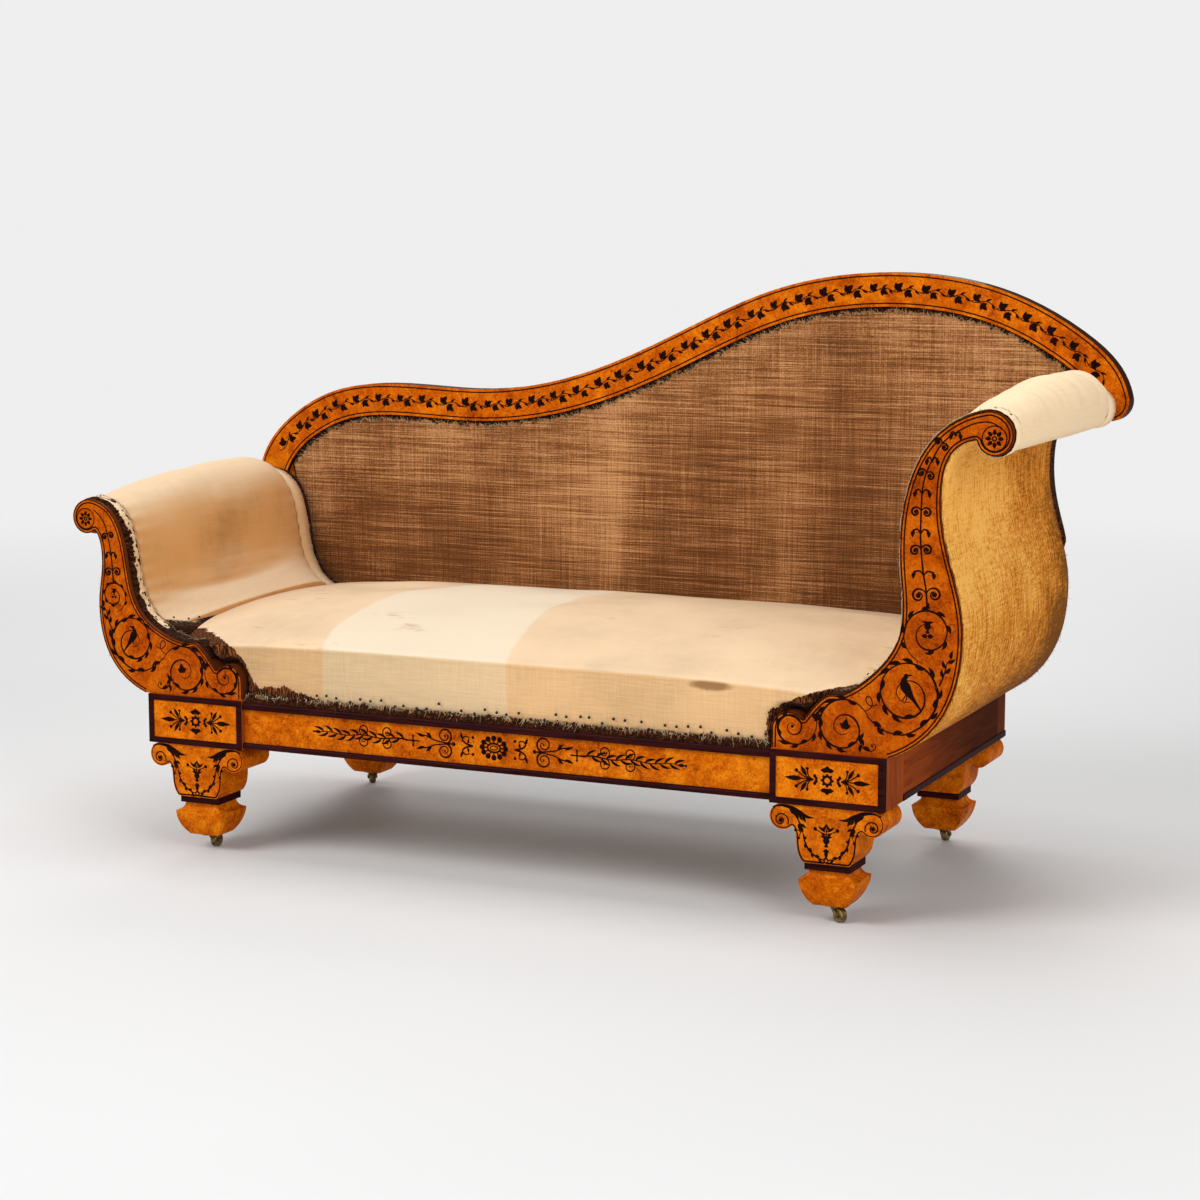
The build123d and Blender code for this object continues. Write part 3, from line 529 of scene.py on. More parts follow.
def plain_cloth_finish(name, colour, pitch):
    """Plain cloth with uneven threads both ways at about that many to the metre."""
    finish = Finish(name)
    weft, warp = cloth_threads(finish, (8.0, 8.0, pitch), (pitch, pitch, 8.0))
    thread = weft * 0.5 + warp * 0.5
    cloud = finish.noise(5.0, 3.0)
    cloth = finish.ramp(
        thread * 0.7 + cloud * 0.3,
        [(0.3, darker(colour, 0.45)), (0.55, colour), (0.75, darker(colour, 1.4))])
    return fabric(finish, cloth, thread, 0.5, 0.6 * MM)


@shared
def stuffing_finish():
    """Dark hair and old cloth under the tacks."""
    tones = colours()
    finish = Finish("dark_stuffing")
    hair = finish.drawn((260.0, 60.0, 260.0), 4.0, 0.7, 0.8)
    colour = finish.ramp(
        hair, [(0.42, darker(tones.stuffing, 0.2)), (0.58, tones.stuffing), (0.72, (0.19, 0.065, 0.020))])
    return fabric(finish, colour, hair, 0.9, 1.2 * MM)


@shared
def thread_finish(name, colour):
    """Loose threads, each a little lighter or darker along its run."""
    finish = Finish(name)
    tone = finish.noise(120.0, 2.0)
    return fabric(
        finish, finish.ramp(tone, [(0.3, darker(colour, 0.5)), (0.6, darker(colour, 1.1))]), tone, 0.2)


def put_mesh(name, points, faces, material, modifiers=(), smooth=True):
    """A new object at the origin from points in mm and faces, riding on the frame."""
    mesh = bpy.data.meshes.new(name)
    corners = faces if isinstance(faces, list) else faces.tolist()
    mesh.from_pydata((np.asarray(points) * MM).tolist(), [], corners)
    mesh.polygons.foreach_set("use_smooth", np.full(len(mesh.polygons), smooth))
    mesh.update()
    mesh.materials.append(material)
    piece = bpy.data.objects.new(name, mesh)
    bpy.context.scene.collection.objects.link(piece)
    for kind, settings in modifiers:
        modifier = piece.modifiers.new(kind.title(), kind)
        for key, value in settings.items():
            setattr(modifier, key, value)
    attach(piece, ROOT)
    return piece


def solid(thickness, offset=-1.0):
    """A Solidify modifier in mm."""
    return ("SOLIDIFY", {"thickness": thickness * MM, "offset": offset})


def store(piece, name, values):
    """Keep one value for each vertex on the mesh, for a finish to read."""
    layer = piece.data.attributes.new(name, "FLOAT", "POINT")
    layer.data.foreach_set("value", np.asarray(values, np.float32))


def grid_faces(rows, columns, closed=False):
    """Quads of a grid of points kept row by row; closed joins the last column to the first."""
    row = np.arange(rows - 1)[:, None]
    column = np.arange(columns if closed else columns - 1)[None, :]
    after = (column + 1) % columns
    here = row * columns + column
    return np.stack(
        [here, row * columns + after, (row + 1) * columns + after, here + columns], -1).reshape(-1, 4)


def turned_over(faces):
    """The same faces looking the other way."""
    return np.asarray(faces)[:, ::-1]


def put_sheet(name, grid, finish, thickness, turned=False):
    """Thin cloth from a grid of points, shaped (rows, columns, 3)."""
    faces = grid_faces(*grid.shape[:2])
    if turned:
        faces = turned_over(faces)
    return put_mesh(name, grid.reshape(-1, 3), faces, finish, [solid(thickness)])


def put_strip(name, grid, finish, thickness, turned):
    """A narrow sheet, shaped and sized by its grid."""
    piece = put_sheet(name, grid, finish, thickness, turned)
    return piece


def finish_pad(piece, node):
    modifier = piece.modifiers.new("Round", "SUBSURF")
    modifier.levels = modifier.render_levels = 1
    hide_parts(node)


def eased(values, count):
    """Values at even steps joined by cubics whose slopes are half the rise between the neighbours."""
    values = np.asarray(values, float)
    place = np.linspace(0, len(values) - 1, count)
    index = np.minimum(place.astype(int), len(values) - 2)
    share = (place - index).reshape((-1,) + (1,) * (values.ndim - 1))
    slope = np.gradient(values, axis=0)
    square, cube = share**2, share**3
    return (
        (2 * cube - 3 * square + 1) * values[index] + (cube - 2 * square + share) * slope[index]
        + (3 * square - 2 * cube) * values[index + 1] + (cube - square) * slope[index + 1])


def along(path):
    """Length along a path up to each of its points."""
    return np.concatenate([[0.0], np.cumsum(np.linalg.norm(np.diff(path, axis=0), axis=1))])


def sampled(at, run, values):
    """Rows of values read at places along a run."""
    return np.stack([np.interp(at, run, values[:, k]) for k in range(values.shape[1])], 1)


def even(path, step):
    """A path with its points moved to an even step along its length."""
    run = along(path)
    stops = np.linspace(0, run[-1], max(2, int(round(run[-1] / step)) + 1))
    return sampled(stops, run, path)


def unit(vectors):
    """Vectors brought to a length of one."""
    return vectors / np.maximum(np.linalg.norm(vectors, axis=1, keepdims=True), 1e-9)


def towards(degrees):
    """The unit vector at an angle."""
    return np.array([math.cos(math.radians(degrees)), math.sin(math.radians(degrees))])


def angle(way):
    """A vector's angle in degrees."""
    return math.degrees(math.atan2(way[1], way[0]))


def at_depth(flat, depth):
    """(x, z) points with their depth put between as y."""
    return np.stack([flat[..., 0], np.broadcast_to(depth, flat.shape[:-1]), flat[..., 1]], -1)


def headings(path):
    """Unit vectors along a path."""
    return unit(np.gradient(np.asarray(path, float), axis=0))


def beside(path):
    """Unit vectors to the left of a path."""
    ahead = headings(path)
    return np.stack([-ahead[:, 1], ahead[:, 0]], 1)


def smooth_step(values, low, high):
    """0 below low, 1 above high and a cubic between them."""
    share = np.clip((np.asarray(values, float) - low) / (high - low), 0, 1)
    return share * share * (3 - 2 * share)


def face_outline(node, at):
    """The border of a CAD node's face on the plane y = at, as (x, z) in mm, counterclockwise.

    Border edges are those that no other triangle runs back along. Each point's follower is known, so the
    order comes from doubling: a list of the first n points and a jump of n steps give the next n.
    """
    mesh = nodes[node].data
    mesh.calc_loop_triangles()
    points = np.zeros(len(mesh.vertices) * 3)
    mesh.vertices.foreach_get("co", points)
    triangles = np.zeros(len(mesh.loop_triangles) * 3, int)
    mesh.loop_triangles.foreach_get("vertices", triangles)
    points, triangles = points.reshape(-1, 3) / MM, triangles.reshape(-1, 3)
    places, merged = np.unique(np.round(points, 3), axis=0, return_inverse=True)
    flat = merged.reshape(-1)[triangles[(np.abs(points[triangles][:, :, 1] - at) < 0.02).all(1)]]
    edges = np.concatenate([flat[:, [0, 1]], flat[:, [1, 2]], flat[:, [2, 0]]])
    codes = edges @ (len(places), 1)
    border = edges[~np.isin(codes, edges @ (1, len(places)))]
    jump = np.arange(len(places))
    jump[border[:, 0]] = border[:, 1]
    order = border[:1, 0]
    while len(order) < len(border):
        order = np.concatenate([order, jump[order]])
        jump = jump[jump]
    return places[order[: len(border)]][:, [0, 2]] - (plinth_x, 0)


def arm_line(word):
    """An arm board's edge as (out, up) from the plinth's corner: base, outer S, volute, inner sweep, toe."""
    loop = face_outline(f"{word}_arm_front_board", board_front)
    line = np.stack([SIDES[word] * loop[:, 0] - half_length, loop[:, 1] - plinth_top], 1)
    if SIDES[word] < 0:
        line = line[::-1]
    low = line[:, 1] < 0.05
    start = np.flatnonzero(low)[np.argmax(line[low, 0])]
    return np.roll(line, -start, axis=0)


ARM_LINES = {word: arm_line(word) for word in SIDES}


def volute_tip(line):
    """Index of the tip under the scroll: where the outer S turns back most sharply."""
    ahead = unit(np.diff(np.concatenate([line, line[:1]]), axis=0))
    before = np.roll(ahead, 1, axis=0)
    turn = before[:, 0] * ahead[:, 1] - before[:, 1] * ahead[:, 0]
    upper = line[:, 1] > 0.6 * line[:, 1].max()
    return int(np.argmin(np.where(upper, turn, 1.0)))


def outer_line(word):
    """An arm board's outer S, from its base to the tip under the scroll."""
    line = ARM_LINES[word]
    return line[: volute_tip(line) + 1]


def pad_line(word, step):
    """An arm pad's line at an even step: the board's edge from under the scroll to near the seat."""
    line = ARM_LINES[word]
    inner = line[volute_tip(line):]
    foot = np.flatnonzero(inner[:, 1] > ARM_PAD_FOOT)[-1]
    return even(inner[: foot + 1], step)


def arm_points(word, points):
    """(out, up) points of an arm as x and z of the object."""
    points = np.asarray(points, float)
    return np.stack(
        [plinth_x + SIDES[word] * (half_length + points[..., 0]), plinth_top + points[..., 1]], -1)


class Inlay:
    """Thin dark wood let into a flat face, as ribbons along paths drawn in mm on that face."""

    PROUD = 0.08
    LAYER = 0.0005

    def __init__(self, side=1, origin=(0.0, 0.0), weight=1.0):
        self.side, self.origin, self.weight = side, np.array(origin, float), weight
        self.points, self.faces, self.total = [], [], 0

    def stroke(self, path, width, weight=None):
        """A ribbon: each path point moved half the width, times a weight, to its left and to its right."""
        path = np.asarray(path, float)
        width = np.asarray(width, float) * (self.weight if weight is None else weight)
        half = np.broadcast_to(np.maximum(width, 0.12) / 2, len(path))[:, None]
        rims = np.concatenate([path + beside(path) * half, path - beside(path) * half])
        lift = np.full((len(rims), 1), self.PROUD + self.LAYER * len(self.points))
        count = len(path)
        here = np.arange(count - 1)
        quads = np.stack([here + count, here + count + 1, here + 1, here], 1)
        if self.side < 0:
            quads = turned_over(quads)
        self.points.append(np.concatenate([rims * (self.side, 1) + self.origin, lift], 1))
        self.faces.append(quads + self.total)
        self.total += len(rims)

    def disc(self, centre, radius, steps=9):
        """A round spot: a level stroke as wide as a circle's chords."""
        share = -np.cos(np.linspace(0, math.pi, steps))
        path = np.array(centre, float) + np.stack([radius * share, np.zeros(steps)], 1)
        self.stroke(path, 2 * radius * np.sqrt(np.maximum(1 - share**2, 0)), 1.0)

    def ring(self, centre, radius, width, steps=49, squash=1.0):
        """A circle or oval of even width."""
        turn = np.linspace(0, 2 * math.pi, steps)
        self.stroke(np.array(centre) + radius * np.stack([np.cos(turn), squash * np.sin(turn)], 1), width)

    def leaf(self, base, heading, length, width, bend=0.0, steps=9):
        """A pointed leaf: a bent rib with a width that swells early and runs out to a tip."""
        share = np.linspace(0, 1, steps)
        turn = math.radians(heading) + math.radians(bend) * share
        step = length * (1 + self.weight) / 2 / (steps - 1)
        rib = np.cumsum(np.stack([np.cos(turn), np.sin(turn)], 1) * step, axis=0)
        path = np.array(base, float) + rib - rib[0]
        self.stroke(path, width * np.sin(math.pi * share**0.75))

    def coil(self, centre, first, radii, hand, width, steps=14):
        """A spiral through a radius for each quarter turn, from the first angle; returns its path."""
        count = steps * (len(radii) - 1) + 1
        turn = math.radians(first) + hand * np.linspace(0, (len(radii) - 1) * math.pi / 2, count)
        path = np.array(centre, float) + eased(radii, count)[:, None] * np.stack(
            [np.cos(turn), np.sin(turn)], 1)
        widths = np.interp(np.linspace(0, 1, count), np.linspace(0, 1, len(width)), width)
        self.stroke(path, widths)
        return path

    def sprigs(self, path, shares, length, width, spread=46.0, sides=(1, -1)):
        """Leaves that leave a stem at shares of its length, on its left (1) or right (-1)."""
        run = along(path) / along(path)[-1]
        ahead = headings(path)
        for index, share in enumerate(shares):
            spot, way = sampled([share], run, np.concatenate([path, ahead], 1)).reshape(2, 2)
            hand = sides[index % len(sides)]
            self.leaf(spot, angle(way) + hand * (spread + 12.0), length * 1.25, width * 1.1, -hand * 55.0)

    def place(self, name, at, across=None):
        """Make the piece: on a front face at y = at, or on an end face at x = across."""
        flat = np.concatenate(self.points)
        if across is None:
            points = np.stack([flat[:, 0] + plinth_x, at - flat[:, 2], flat[:, 1]], 1)
        else:
            points = np.stack([across + self.side * flat[:, 2], flat[:, 0], flat[:, 1]], 1)
        piece = put_mesh(name, points, np.concatenate(self.faces), inlay_finish(), [solid(0.5)], False)


def inner_line(outline, inset, keep):
    """A line inside an outline by an inset: points pushed square to it, less those near another stretch."""
    path = even(outline, 2.0)
    pushed = path + beside(path) * inset
    gap = np.linalg.norm(pushed[:, None, :] - path[None, :, :], axis=2).min(1)
    return even(pushed[(gap > 0.96 * inset) & keep(pushed)], 2.5)


def vine_leaf(inlay, base, heading, size):
    """An ivy leaf: a long middle lobe, two side lobes and two small ones at its heel."""
    lobes = ((0, 1.0, 0.62), (62, 0.72, 0.5), (-62, 0.72, 0.5), (118, 0.4, 0.3), (-118, 0.4, 0.3))
    for turn, length, width in lobes:
        inlay.leaf(base, heading + turn, size * length, size * width, steps=7)


def rosette(inlay, centre, radius, petals):
    """A flower of round-ended petals about a ring."""
    centre = np.array(centre, float)
    for turn in np.arange(petals) * 360.0 / petals:
        way = towards(turn)
        inlay.leaf(centre + way * radius * 0.36, turn, radius * 0.62, radius * 0.40, steps=7)
        inlay.disc(centre + way * radius * 0.80, radius * 0.17)
    inlay.ring(centre, radius * 0.22, radius * 0.14, 25)


def c_scroll(inlay, base, heading, reach, hand):
    """A small scroll that leaves a stem, curls over and ends in a dot. The heading is the stem's."""
    turn = math.radians(heading - 90 * hand)
    centre = np.array(base, float) + reach * np.array([math.cos(turn), math.sin(turn)])
    inlay.coil(
        centre, math.degrees(turn) + 180, np.array([1.0, 0.78, 0.66, 0.56, 0.46, 0.36]) * reach, -hand,
        [1.4, 2.9, 3.0, 2.1, 1.5])
    inlay.disc(centre, reach * 0.32)


def husk_drop(inlay, base, reach, hand):
    """A small arm that bows out from a stem and drops a husk."""
    base = np.array(base, float)
    tip = base + (hand * reach, 1.0)
    path = eased([base - (0, 3.5), base + (hand * 0.4 * reach, 3.2), tip], 12)
    inlay.stroke(path, np.linspace(1.7, 2.8, 12))
    inlay.leaf(tip, -90, 9.5, 5.2, steps=7)
    inlay.leaf(tip + (0, 1.0), -90 - hand * 35, 6.0, 2.8, steps=5)


def bird(inlay, centre, size):
    """A small perched bird: lens body, round head, short beak, long tail and two legs."""
    centre = np.array(centre, float)
    body = eased(np.array([(-0.10, 0.62), (-0.16, 0.36), (0.0, 0.0), (0.30, -0.42)]) * size + centre, 18)
    inlay.stroke(body, np.interp(np.linspace(0, 1, 18), [0, 0.25, 0.55, 1], [0.18, 0.28, 0.50, 0.20]) * size)
    inlay.disc(centre + np.array([-0.05, 0.68]) * size, 0.13 * size)
    inlay.leaf(centre + np.array([0.02, 0.72]) * size, 18, 0.26 * size, 0.09 * size, -20, 5)
    inlay.stroke(
        np.linspace(centre + np.array([0.26, -0.36]) * size, centre + np.array([0.74, -1.0]) * size, 8),
        np.linspace(0.20, 0.07, 8) * size)
    hip = centre + np.array([0.05, -0.1]) * size
    for foot in (-0.10, 0.10):
        inlay.stroke(np.linspace(hip, centre + np.array([foot - 0.15, -0.62]) * size, 4), 0.05 * size)


def vase(inlay, centre, size):
    """A small cup with a waist and a spread lip over a drop."""
    centre = np.array(centre, float)
    path = np.stack([np.zeros(13), np.linspace(0.5, -0.5, 13)], 1) * size + centre
    width = np.array([1.0, 0.86, 0.56, 0.42, 0.46, 0.54, 0.52, 0.40, 0.26, 0.16, 0.3, 0.36, 0.1]) * size
    inlay.stroke(path, width * 0.9)


# Places on each arm's face, in mm as (out, up): measured from the volute down to the toe
ARM_ORNAMENT = {
    "right": {
        "volute": (157.5, 487.3),
        "stem": (
            (61, 226.5), (57.7, 260), (53.2, 285), (49, 321), (48, 352), (48.7, 385), (49.8, 408),
            (54.5, 431), (66, 457), (79, 478), (99, 494), (126, 508), (150, 511), (168, 503)),
        "scrolls": ((59, 250, 12.5), (49.2, 316, 9.4), (48, 374, 8.6), (55, 431, 7.4), (79, 475, 6.4)),
        "drops": ((54, 284, 16), (48.2, 346, 12.5), (49.5, 405, 11.5), (64, 453, 8.5), (99, 492, 7.5)),
        "roundel": ((61.5, 197.0), 1.0),
        "bird": ((32.0, 103.0), 1.0),
        "stalk": (
            (-31.7, 62.5), (-16, 48.7), (-2.6, 41.2), (13, 38), (31, 39), (56, 54), (73.5, 76), (79.5, 100),
            (77, 113)),
        "sprig": (89, 136),
    },
    "left": {
        "volute": (123.6, 293.8),
        "stem": (
            (70, 186), (70.3, 200), (71.2, 213), (72.4, 228), (74.3, 243.7), (77.7, 261), (82, 278.6),
            (91, 296), (105, 309)),
        "scrolls": ((70.8, 204, 8.8), (79, 266, 6.4)),
        "drops": ((73.2, 235, 9.5),),
        "roundel": ((69.0, 166.0), 0.63),
        "bird": ((34.0, 90.0), 0.84),
        "stalk": (
            (-29.5, 62.5), (-17, 52), (1, 40.3), (22, 36.2), (43, 42.4), (63.7, 58.8), (75, 83.5), (74, 106)),
        "sprig": (82, 122),
    },
}


def arm_ornament(word):
    """Stringing round the board, a rosette in the volute, a husk stem, and rinceaux down to the toe."""
    places = ARM_ORNAMENT[word]
    side = SIDES[word]
    inlay = Inlay(side, (side * half_length, plinth_top), 1.15)
    line = ARM_LINES[word]
    inset, width = sizes().stringing_inset / MM, sizes().stringing_width / MM
    inlay.stroke(inner_line(line, inset, lambda p: p[:, 1] > 1.0), width, 1.0)
    inlay.stroke(inner_line(line, 1.2, lambda p: p[:, 1] > 1.0), 2.0, 1.0)
    rosette(inlay, places["volute"], 14.0 if side > 0 else 13.0, 8)
    inlay.ring(places["volute"], 18.5 if side > 0 else 17.5, 1.7)
    stem = eased(places["stem"], 90)
    inlay.stroke(stem, np.linspace(2.6, 1.8, 90))
    for out, up, reach in places["scrolls"]:
        near = np.argmin(np.linalg.norm(stem - (out, up), axis=1))
        for hand in (1, -1):
            c_scroll(inlay, stem[near], angle(headings(stem)[near]), reach, hand)
    for out, up, reach in places["drops"]:
        for hand in (1, -1):
            husk_drop(inlay, (out, up), reach, hand)
    centre, size = places["roundel"]
    radii = np.array([49, 35, 31, 30, 27, 15, 10, 9]) * size
    coil = inlay.coil(centre, 262, radii, -1, [1.0, 1.6, 3.0, 1.8, 2.6, 1.4, 1.2, 0.8])
    inlay.sprigs(coil, np.linspace(0.12, 0.70, 8), 12.0 * size, 4.6 * size + 0.6, 26, (1,))
    vase(inlay, np.array(centre) + (0, 6 * size), 19 * size)
    inlay.leaf(np.array(centre) + (0, -7 * size), 0, 9 * size, 6 * size)
    inlay.leaf(np.array(centre) + (0, -7 * size), 180, 9 * size, 6 * size)
    inlay.leaf(np.array(centre) + (0, 44 * size), -90, 12 * size, 4 * size)
    centre, size = places["bird"]
    radii = np.array([46, 44, 42, 38, 24, 17, 17, 15]) * size
    coil = inlay.coil(centre, 13, radii, 1, [3.4, 1.8, 2.2, 3.0, 2.0, 1.5, 1.1, 0.9])
    inlay.sprigs(coil, np.linspace(0.04, 0.56, 10), 15.0 * size, 5.6 * size, 26, (-1, 1, -1, -1))
    bird(inlay, np.array(centre) + (-1, 4 * size), 30 * size)
    stalk = eased(places["stalk"], 60)
    inlay.stroke(stalk, np.interp(np.linspace(0, 1, 60), [0, 0.4, 0.8, 1], [1.6, 2.0, 3.2, 4.6]))
    inlay.sprigs(stalk, (0.08, 0.14, 0.3, 0.42, 0.58, 0.70, 0.80, 0.9), 13.0, 5.0, 30)
    for spot in stalk[[7, 13, 22]]:
        inlay.disc(spot, 2.6)
    root = np.array(places["sprig"], float)
    twig = eased([root - (8, 20), root, root + (3, 14), root + (11, 24)], 16)
    inlay.stroke(twig, np.linspace(2.4, 0.9, 16))
    inlay.sprigs(twig, (0.30, 0.45, 0.6, 0.8, 0.95), 10.0, 4.4)
    scroll = inlay.coil(
        (-68, 43), 28, (43, 41, 37, 31, 22, 17, 15, 11), 1, [1.2, 2.6, 3.2, 2.0, 2.8, 1.6, 1.2, 1.0])
    inlay.sprigs(scroll, np.linspace(0.08, 0.64, 10), 13.0, 5.0, 26, (1, -1, -1, -1))
    vine_leaf(inlay, (-66, 42), 80, 13)
    vine_leaf(inlay, (-109, 54), 165, 12)
    toe = inlay.coil(
        (-150, 36), 20, (41, 28, 25, 19, 15, 12.5, 9, 6, 4), -1, [1.0, 2.2, 3.4, 2.0, 2.2, 1.2, 0.9, 0.8])
    inlay.sprigs(toe, np.linspace(0.1, 0.56, 7), 11.0, 4.4, 28, (1, -1, 1))
    inlay.leaf((-152, 10), 176, 21, 5, -6)
    inlay.disc((-150.5, 37), 2.6)
    inlay.coil((-29, 87.5), 250, (19, 6, 4.5, 4, 6, 15), 1, [1.2, 1.7, 1.7, 1.2])
    curl = inlay.coil((-22, 16.5), 150, (22, 9, 6, 4, 2.5), 1, [2.2, 1.4, 1.2, 1.0])
    inlay.sprigs(curl, (0.02, 0.2, 0.3), 10.0, 4.2)
    inlay.disc((-22, 16.5), 1.8)
    inlay.place(f"{word}_arm_inlay", board_front)


def crest_edge():
    """The crest's top edge from its tail behind the low arm to its far end, as (x, z)."""
    loop = face_outline("crest_rail", crest_front)
    start = np.argmin(loop[:, 0] + loop[:, 1])
    line = np.roll(loop, -start, axis=0)[::-1]
    return line[: np.argmax(line[:, 0]) + 1], loop


def crest_ornament():
    """Two dark lines that follow the crest's edges and a vine of ivy leaves that waves between them."""
    inlay = Inlay(weight=1.08)
    edge, loop = crest_edge()
    foot = loop[:, 1].min()
    width = sizes().stringing_width / MM
    border = np.roll(loop, -np.argmin(loop[:, 0] + loop[:, 1]), axis=0)
    inlay.stroke(inner_line(border, 5.5, lambda p: p[:, 1] > foot + 0.5), width, 1.0)
    path = even(edge, 2.0)
    middle = even((path - beside(path) * 29.5)[8:-8], 2.0)
    run = along(middle)
    pitch = sizes().vine_pitch / MM
    wave = 3.6 * np.sin(2 * math.pi * run / pitch)
    vine = middle + beside(middle) * wave[:, None]
    keep = (run > 20) & (run < run[-1] - 26)
    vine, run = vine[keep], run[keep] - run[keep][0]
    inlay.stroke(vine, 1.5)
    ahead = headings(vine)
    sway = np.random.default_rng(SEED)
    for at in np.arange(0.2 * pitch, run[-1], pitch):
        for offset, turn, size, stalk in (
            (0.0, 58, 13.5, 6.5), (0.34, -62, 12.5, 5.5), (0.56, 35, 8.5, 3.0), (0.78, -32, 8.5, 3.0)):
            place = at + offset * pitch + sway.uniform(-2, 2)
            if place > run[-1]:
                continue
            near = int(np.searchsorted(run, place))
            heading = angle(ahead[near]) + turn + sway.uniform(-9, 9)
            way = towards(heading)
            inlay.stroke(np.linspace(vine[near], vine[near] + way * stalk, 3), 1.2)
            if size > 10:
                vine_leaf(inlay, vine[near] + way * stalk * 1.2, heading, size * sway.uniform(0.9, 1.08))
            else:
                inlay.leaf(vine[near], heading, size * 1.3, 3.4, -np.sign(turn) * 30, 7)
    inlay.place("crest_inlay", crest_front)


def rail_half(inlay):
    """One half of the front rail's ornament, from the middle out: hooks, a scroll pair and a leafy stem."""
    for hand in (1, -1):
        hook = eased([(38, 0), (50, hand * 3), (57, hand * 9), (52, hand * 15), (44, hand * 13)], 24)
        inlay.stroke(hook, np.interp(np.linspace(0, 1, 24), [0, 0.5, 1], [2.6, 2.2, 1.2]))
        inlay.disc((38, hand * 14), 2.6)
        inlay.leaf((56, hand * 10), hand * 55, 11, 3.6, hand * 30)
        inlay.leaf((48, hand * 3), hand * 120, 9, 3.0, -hand * 30)
        inlay.coil(
            (89, hand * 12.2), -hand * 80, (12, 11.6, 11, 10, 7.6, 5.4, 3.4), -hand,
            [2.6, 2.4, 2.0, 1.6, 1.2])
        inlay.disc((89, hand * 12.4), 1.8)
        spray = [(76, 0), (92, hand * 1.5), (108, hand * 4), (124, hand * 10), (134, hand * 9)]
        inlay.stroke(eased(spray, 20), 1.8)
        inlay.leaf((114, hand * 6), hand * 60, 13, 4.0, -hand * 30)
        inlay.leaf((126, hand * 9), hand * 5, 15, 4.0, hand * 20)
        inlay.leaf((120, hand * 8), hand * 110, 8, 3.0)
        for at, reach in ((196, 8.4), (240, 8.4)):
            inlay.coil(
                (at, hand * 9.5), -hand * 70, np.array([1.1, 1.0, 0.9, 0.78, 0.6, 0.42]) * reach, hand,
                [1.6, 1.8, 1.4, 1.0])
            inlay.disc((at, hand * 9.5), 1.6)
    inlay.disc((73, 0), 3.4, 13)
    inlay.stroke([(136, 0), (160, 0)], 2.0)
    inlay.stroke([(148, -8), (148, 8)], 2.0)
    for spot in ((148, 8), (148, -8), (160, 0)):
        inlay.disc(spot, 2.0)
    stem = np.stack([np.linspace(158, 326, 60), 1.6 * np.sin(np.linspace(0, 5 * math.pi, 60))], 1)
    inlay.stroke(stem, np.linspace(2.2, 1.0, 60))
    inlay.sprigs(stem, np.linspace(0.04, 0.94, 19), 15.0, 3.2, 42, (1, -1))
    inlay.leaf((322, 0), 0, 12, 4.2)
    inlay.disc((336, 0), 2.0)


def rail_ornament():
    """The front rail: an oval rosette in the middle and the same scrolled foliage to both sides."""
    middle = (panel_low[2] + panel_high[2] - 15.0) / 2
    for word, side in SIDES.items():
        inlay = Inlay(side, (-3.5, middle), 1.3)
        rail_half(inlay)
        if side > 0:
            for turn in np.linspace(0, 2 * math.pi, 13)[:-1]:
                way = np.array([math.cos(turn) * 21, math.sin(turn) * 16])
                inlay.disc(way, 4.7, 11)
                inlay.stroke(np.linspace(way * 0.55, way * 0.9, 4), 1.8)
            inlay.ring((0, 0), 11.5, 2.4, 33, 0.62)
            inlay.ring((0, 0), 6.5, 1.4, 25, 0.5)
        inlay.place(f"front_rail_inlay_{word}", panel_low[1])


def palmette(inlay, base, hand):
    """A fan of leaves and buds on curved stalks that spreads from a small shell."""
    base = np.array(base, float)
    reach = np.array([0.3, 0.55, 0.8])[:, None]
    fan = (
        (0, 47, 6.4), (24, 38, 4.6), (-24, 38, 4.6), (38, 31, 5.0), (-38, 31, 5.0),
        (58, 24, 4.0), (-58, 24, 4.0))
    for turn, length, width in fan:
        bends = np.radians([turn * 0.45, turn * 0.75, turn])
        ways = np.stack([hand * np.cos(bends), np.sin(bends)], 1)
        stalk = eased(np.concatenate([base[None], base + ways * length * reach]), 14)
        inlay.stroke(stalk, np.linspace(1.3, 1.9, 14))
        if abs(turn) in (24, 58):
            inlay.disc(stalk[-1], width * 0.62)
        else:
            inlay.leaf(stalk[6], angle(stalk[-1] - stalk[-2]), length * 0.55, width)
    for turn in np.radians([-66, -22, 22, 66]):
        inlay.disc(base - (hand * 4.6 * math.cos(turn), 6.4 * math.sin(turn)), 2.7)


def block_ornament(word):
    """A corner block's face: two palmettes that point outwards, a ringed flower and two small lozenges."""
    low, high = limits(f"front_{word}_block")
    centre = ((low[0] + high[0]) / 2 - plinth_x, (low[2] + high[2]) / 2)
    inlay = Inlay(1, centre, 1.25)
    palmette(inlay, (23, 0), 1)
    palmette(inlay, (-21, 0), -1)
    inlay.ring((1, 0), 6.4, 3.2, 33)
    for turn in np.arange(8) * 45.0:
        way = towards(turn)
        inlay.disc(way * 8.8 + (1, 0), 2.0)
    for up in (1, -1):
        spot = np.array([1.0, up * 15.5])
        inlay.leaf(spot, 0, 10, 6)
        inlay.leaf(spot, 180, 10, 6)
        inlay.leaf(spot, up * 90, 6.5, 7)
        inlay.disc(spot, 3.2)
    inlay.place(f"front_{word}_block_inlay", low[1])
    side = SIDES[word]
    corner = Inlay(side)
    strip = np.array([(low[1] + 4.5, plinth_bottom + 0.5), (low[1] + 4.5, plinth_top - 0.5)])
    corner.stroke(strip * (side, 1), 9.0)
    corner.place(f"front_{word}_corner_strip", 0.0, high[0] if side > 0 else low[0])


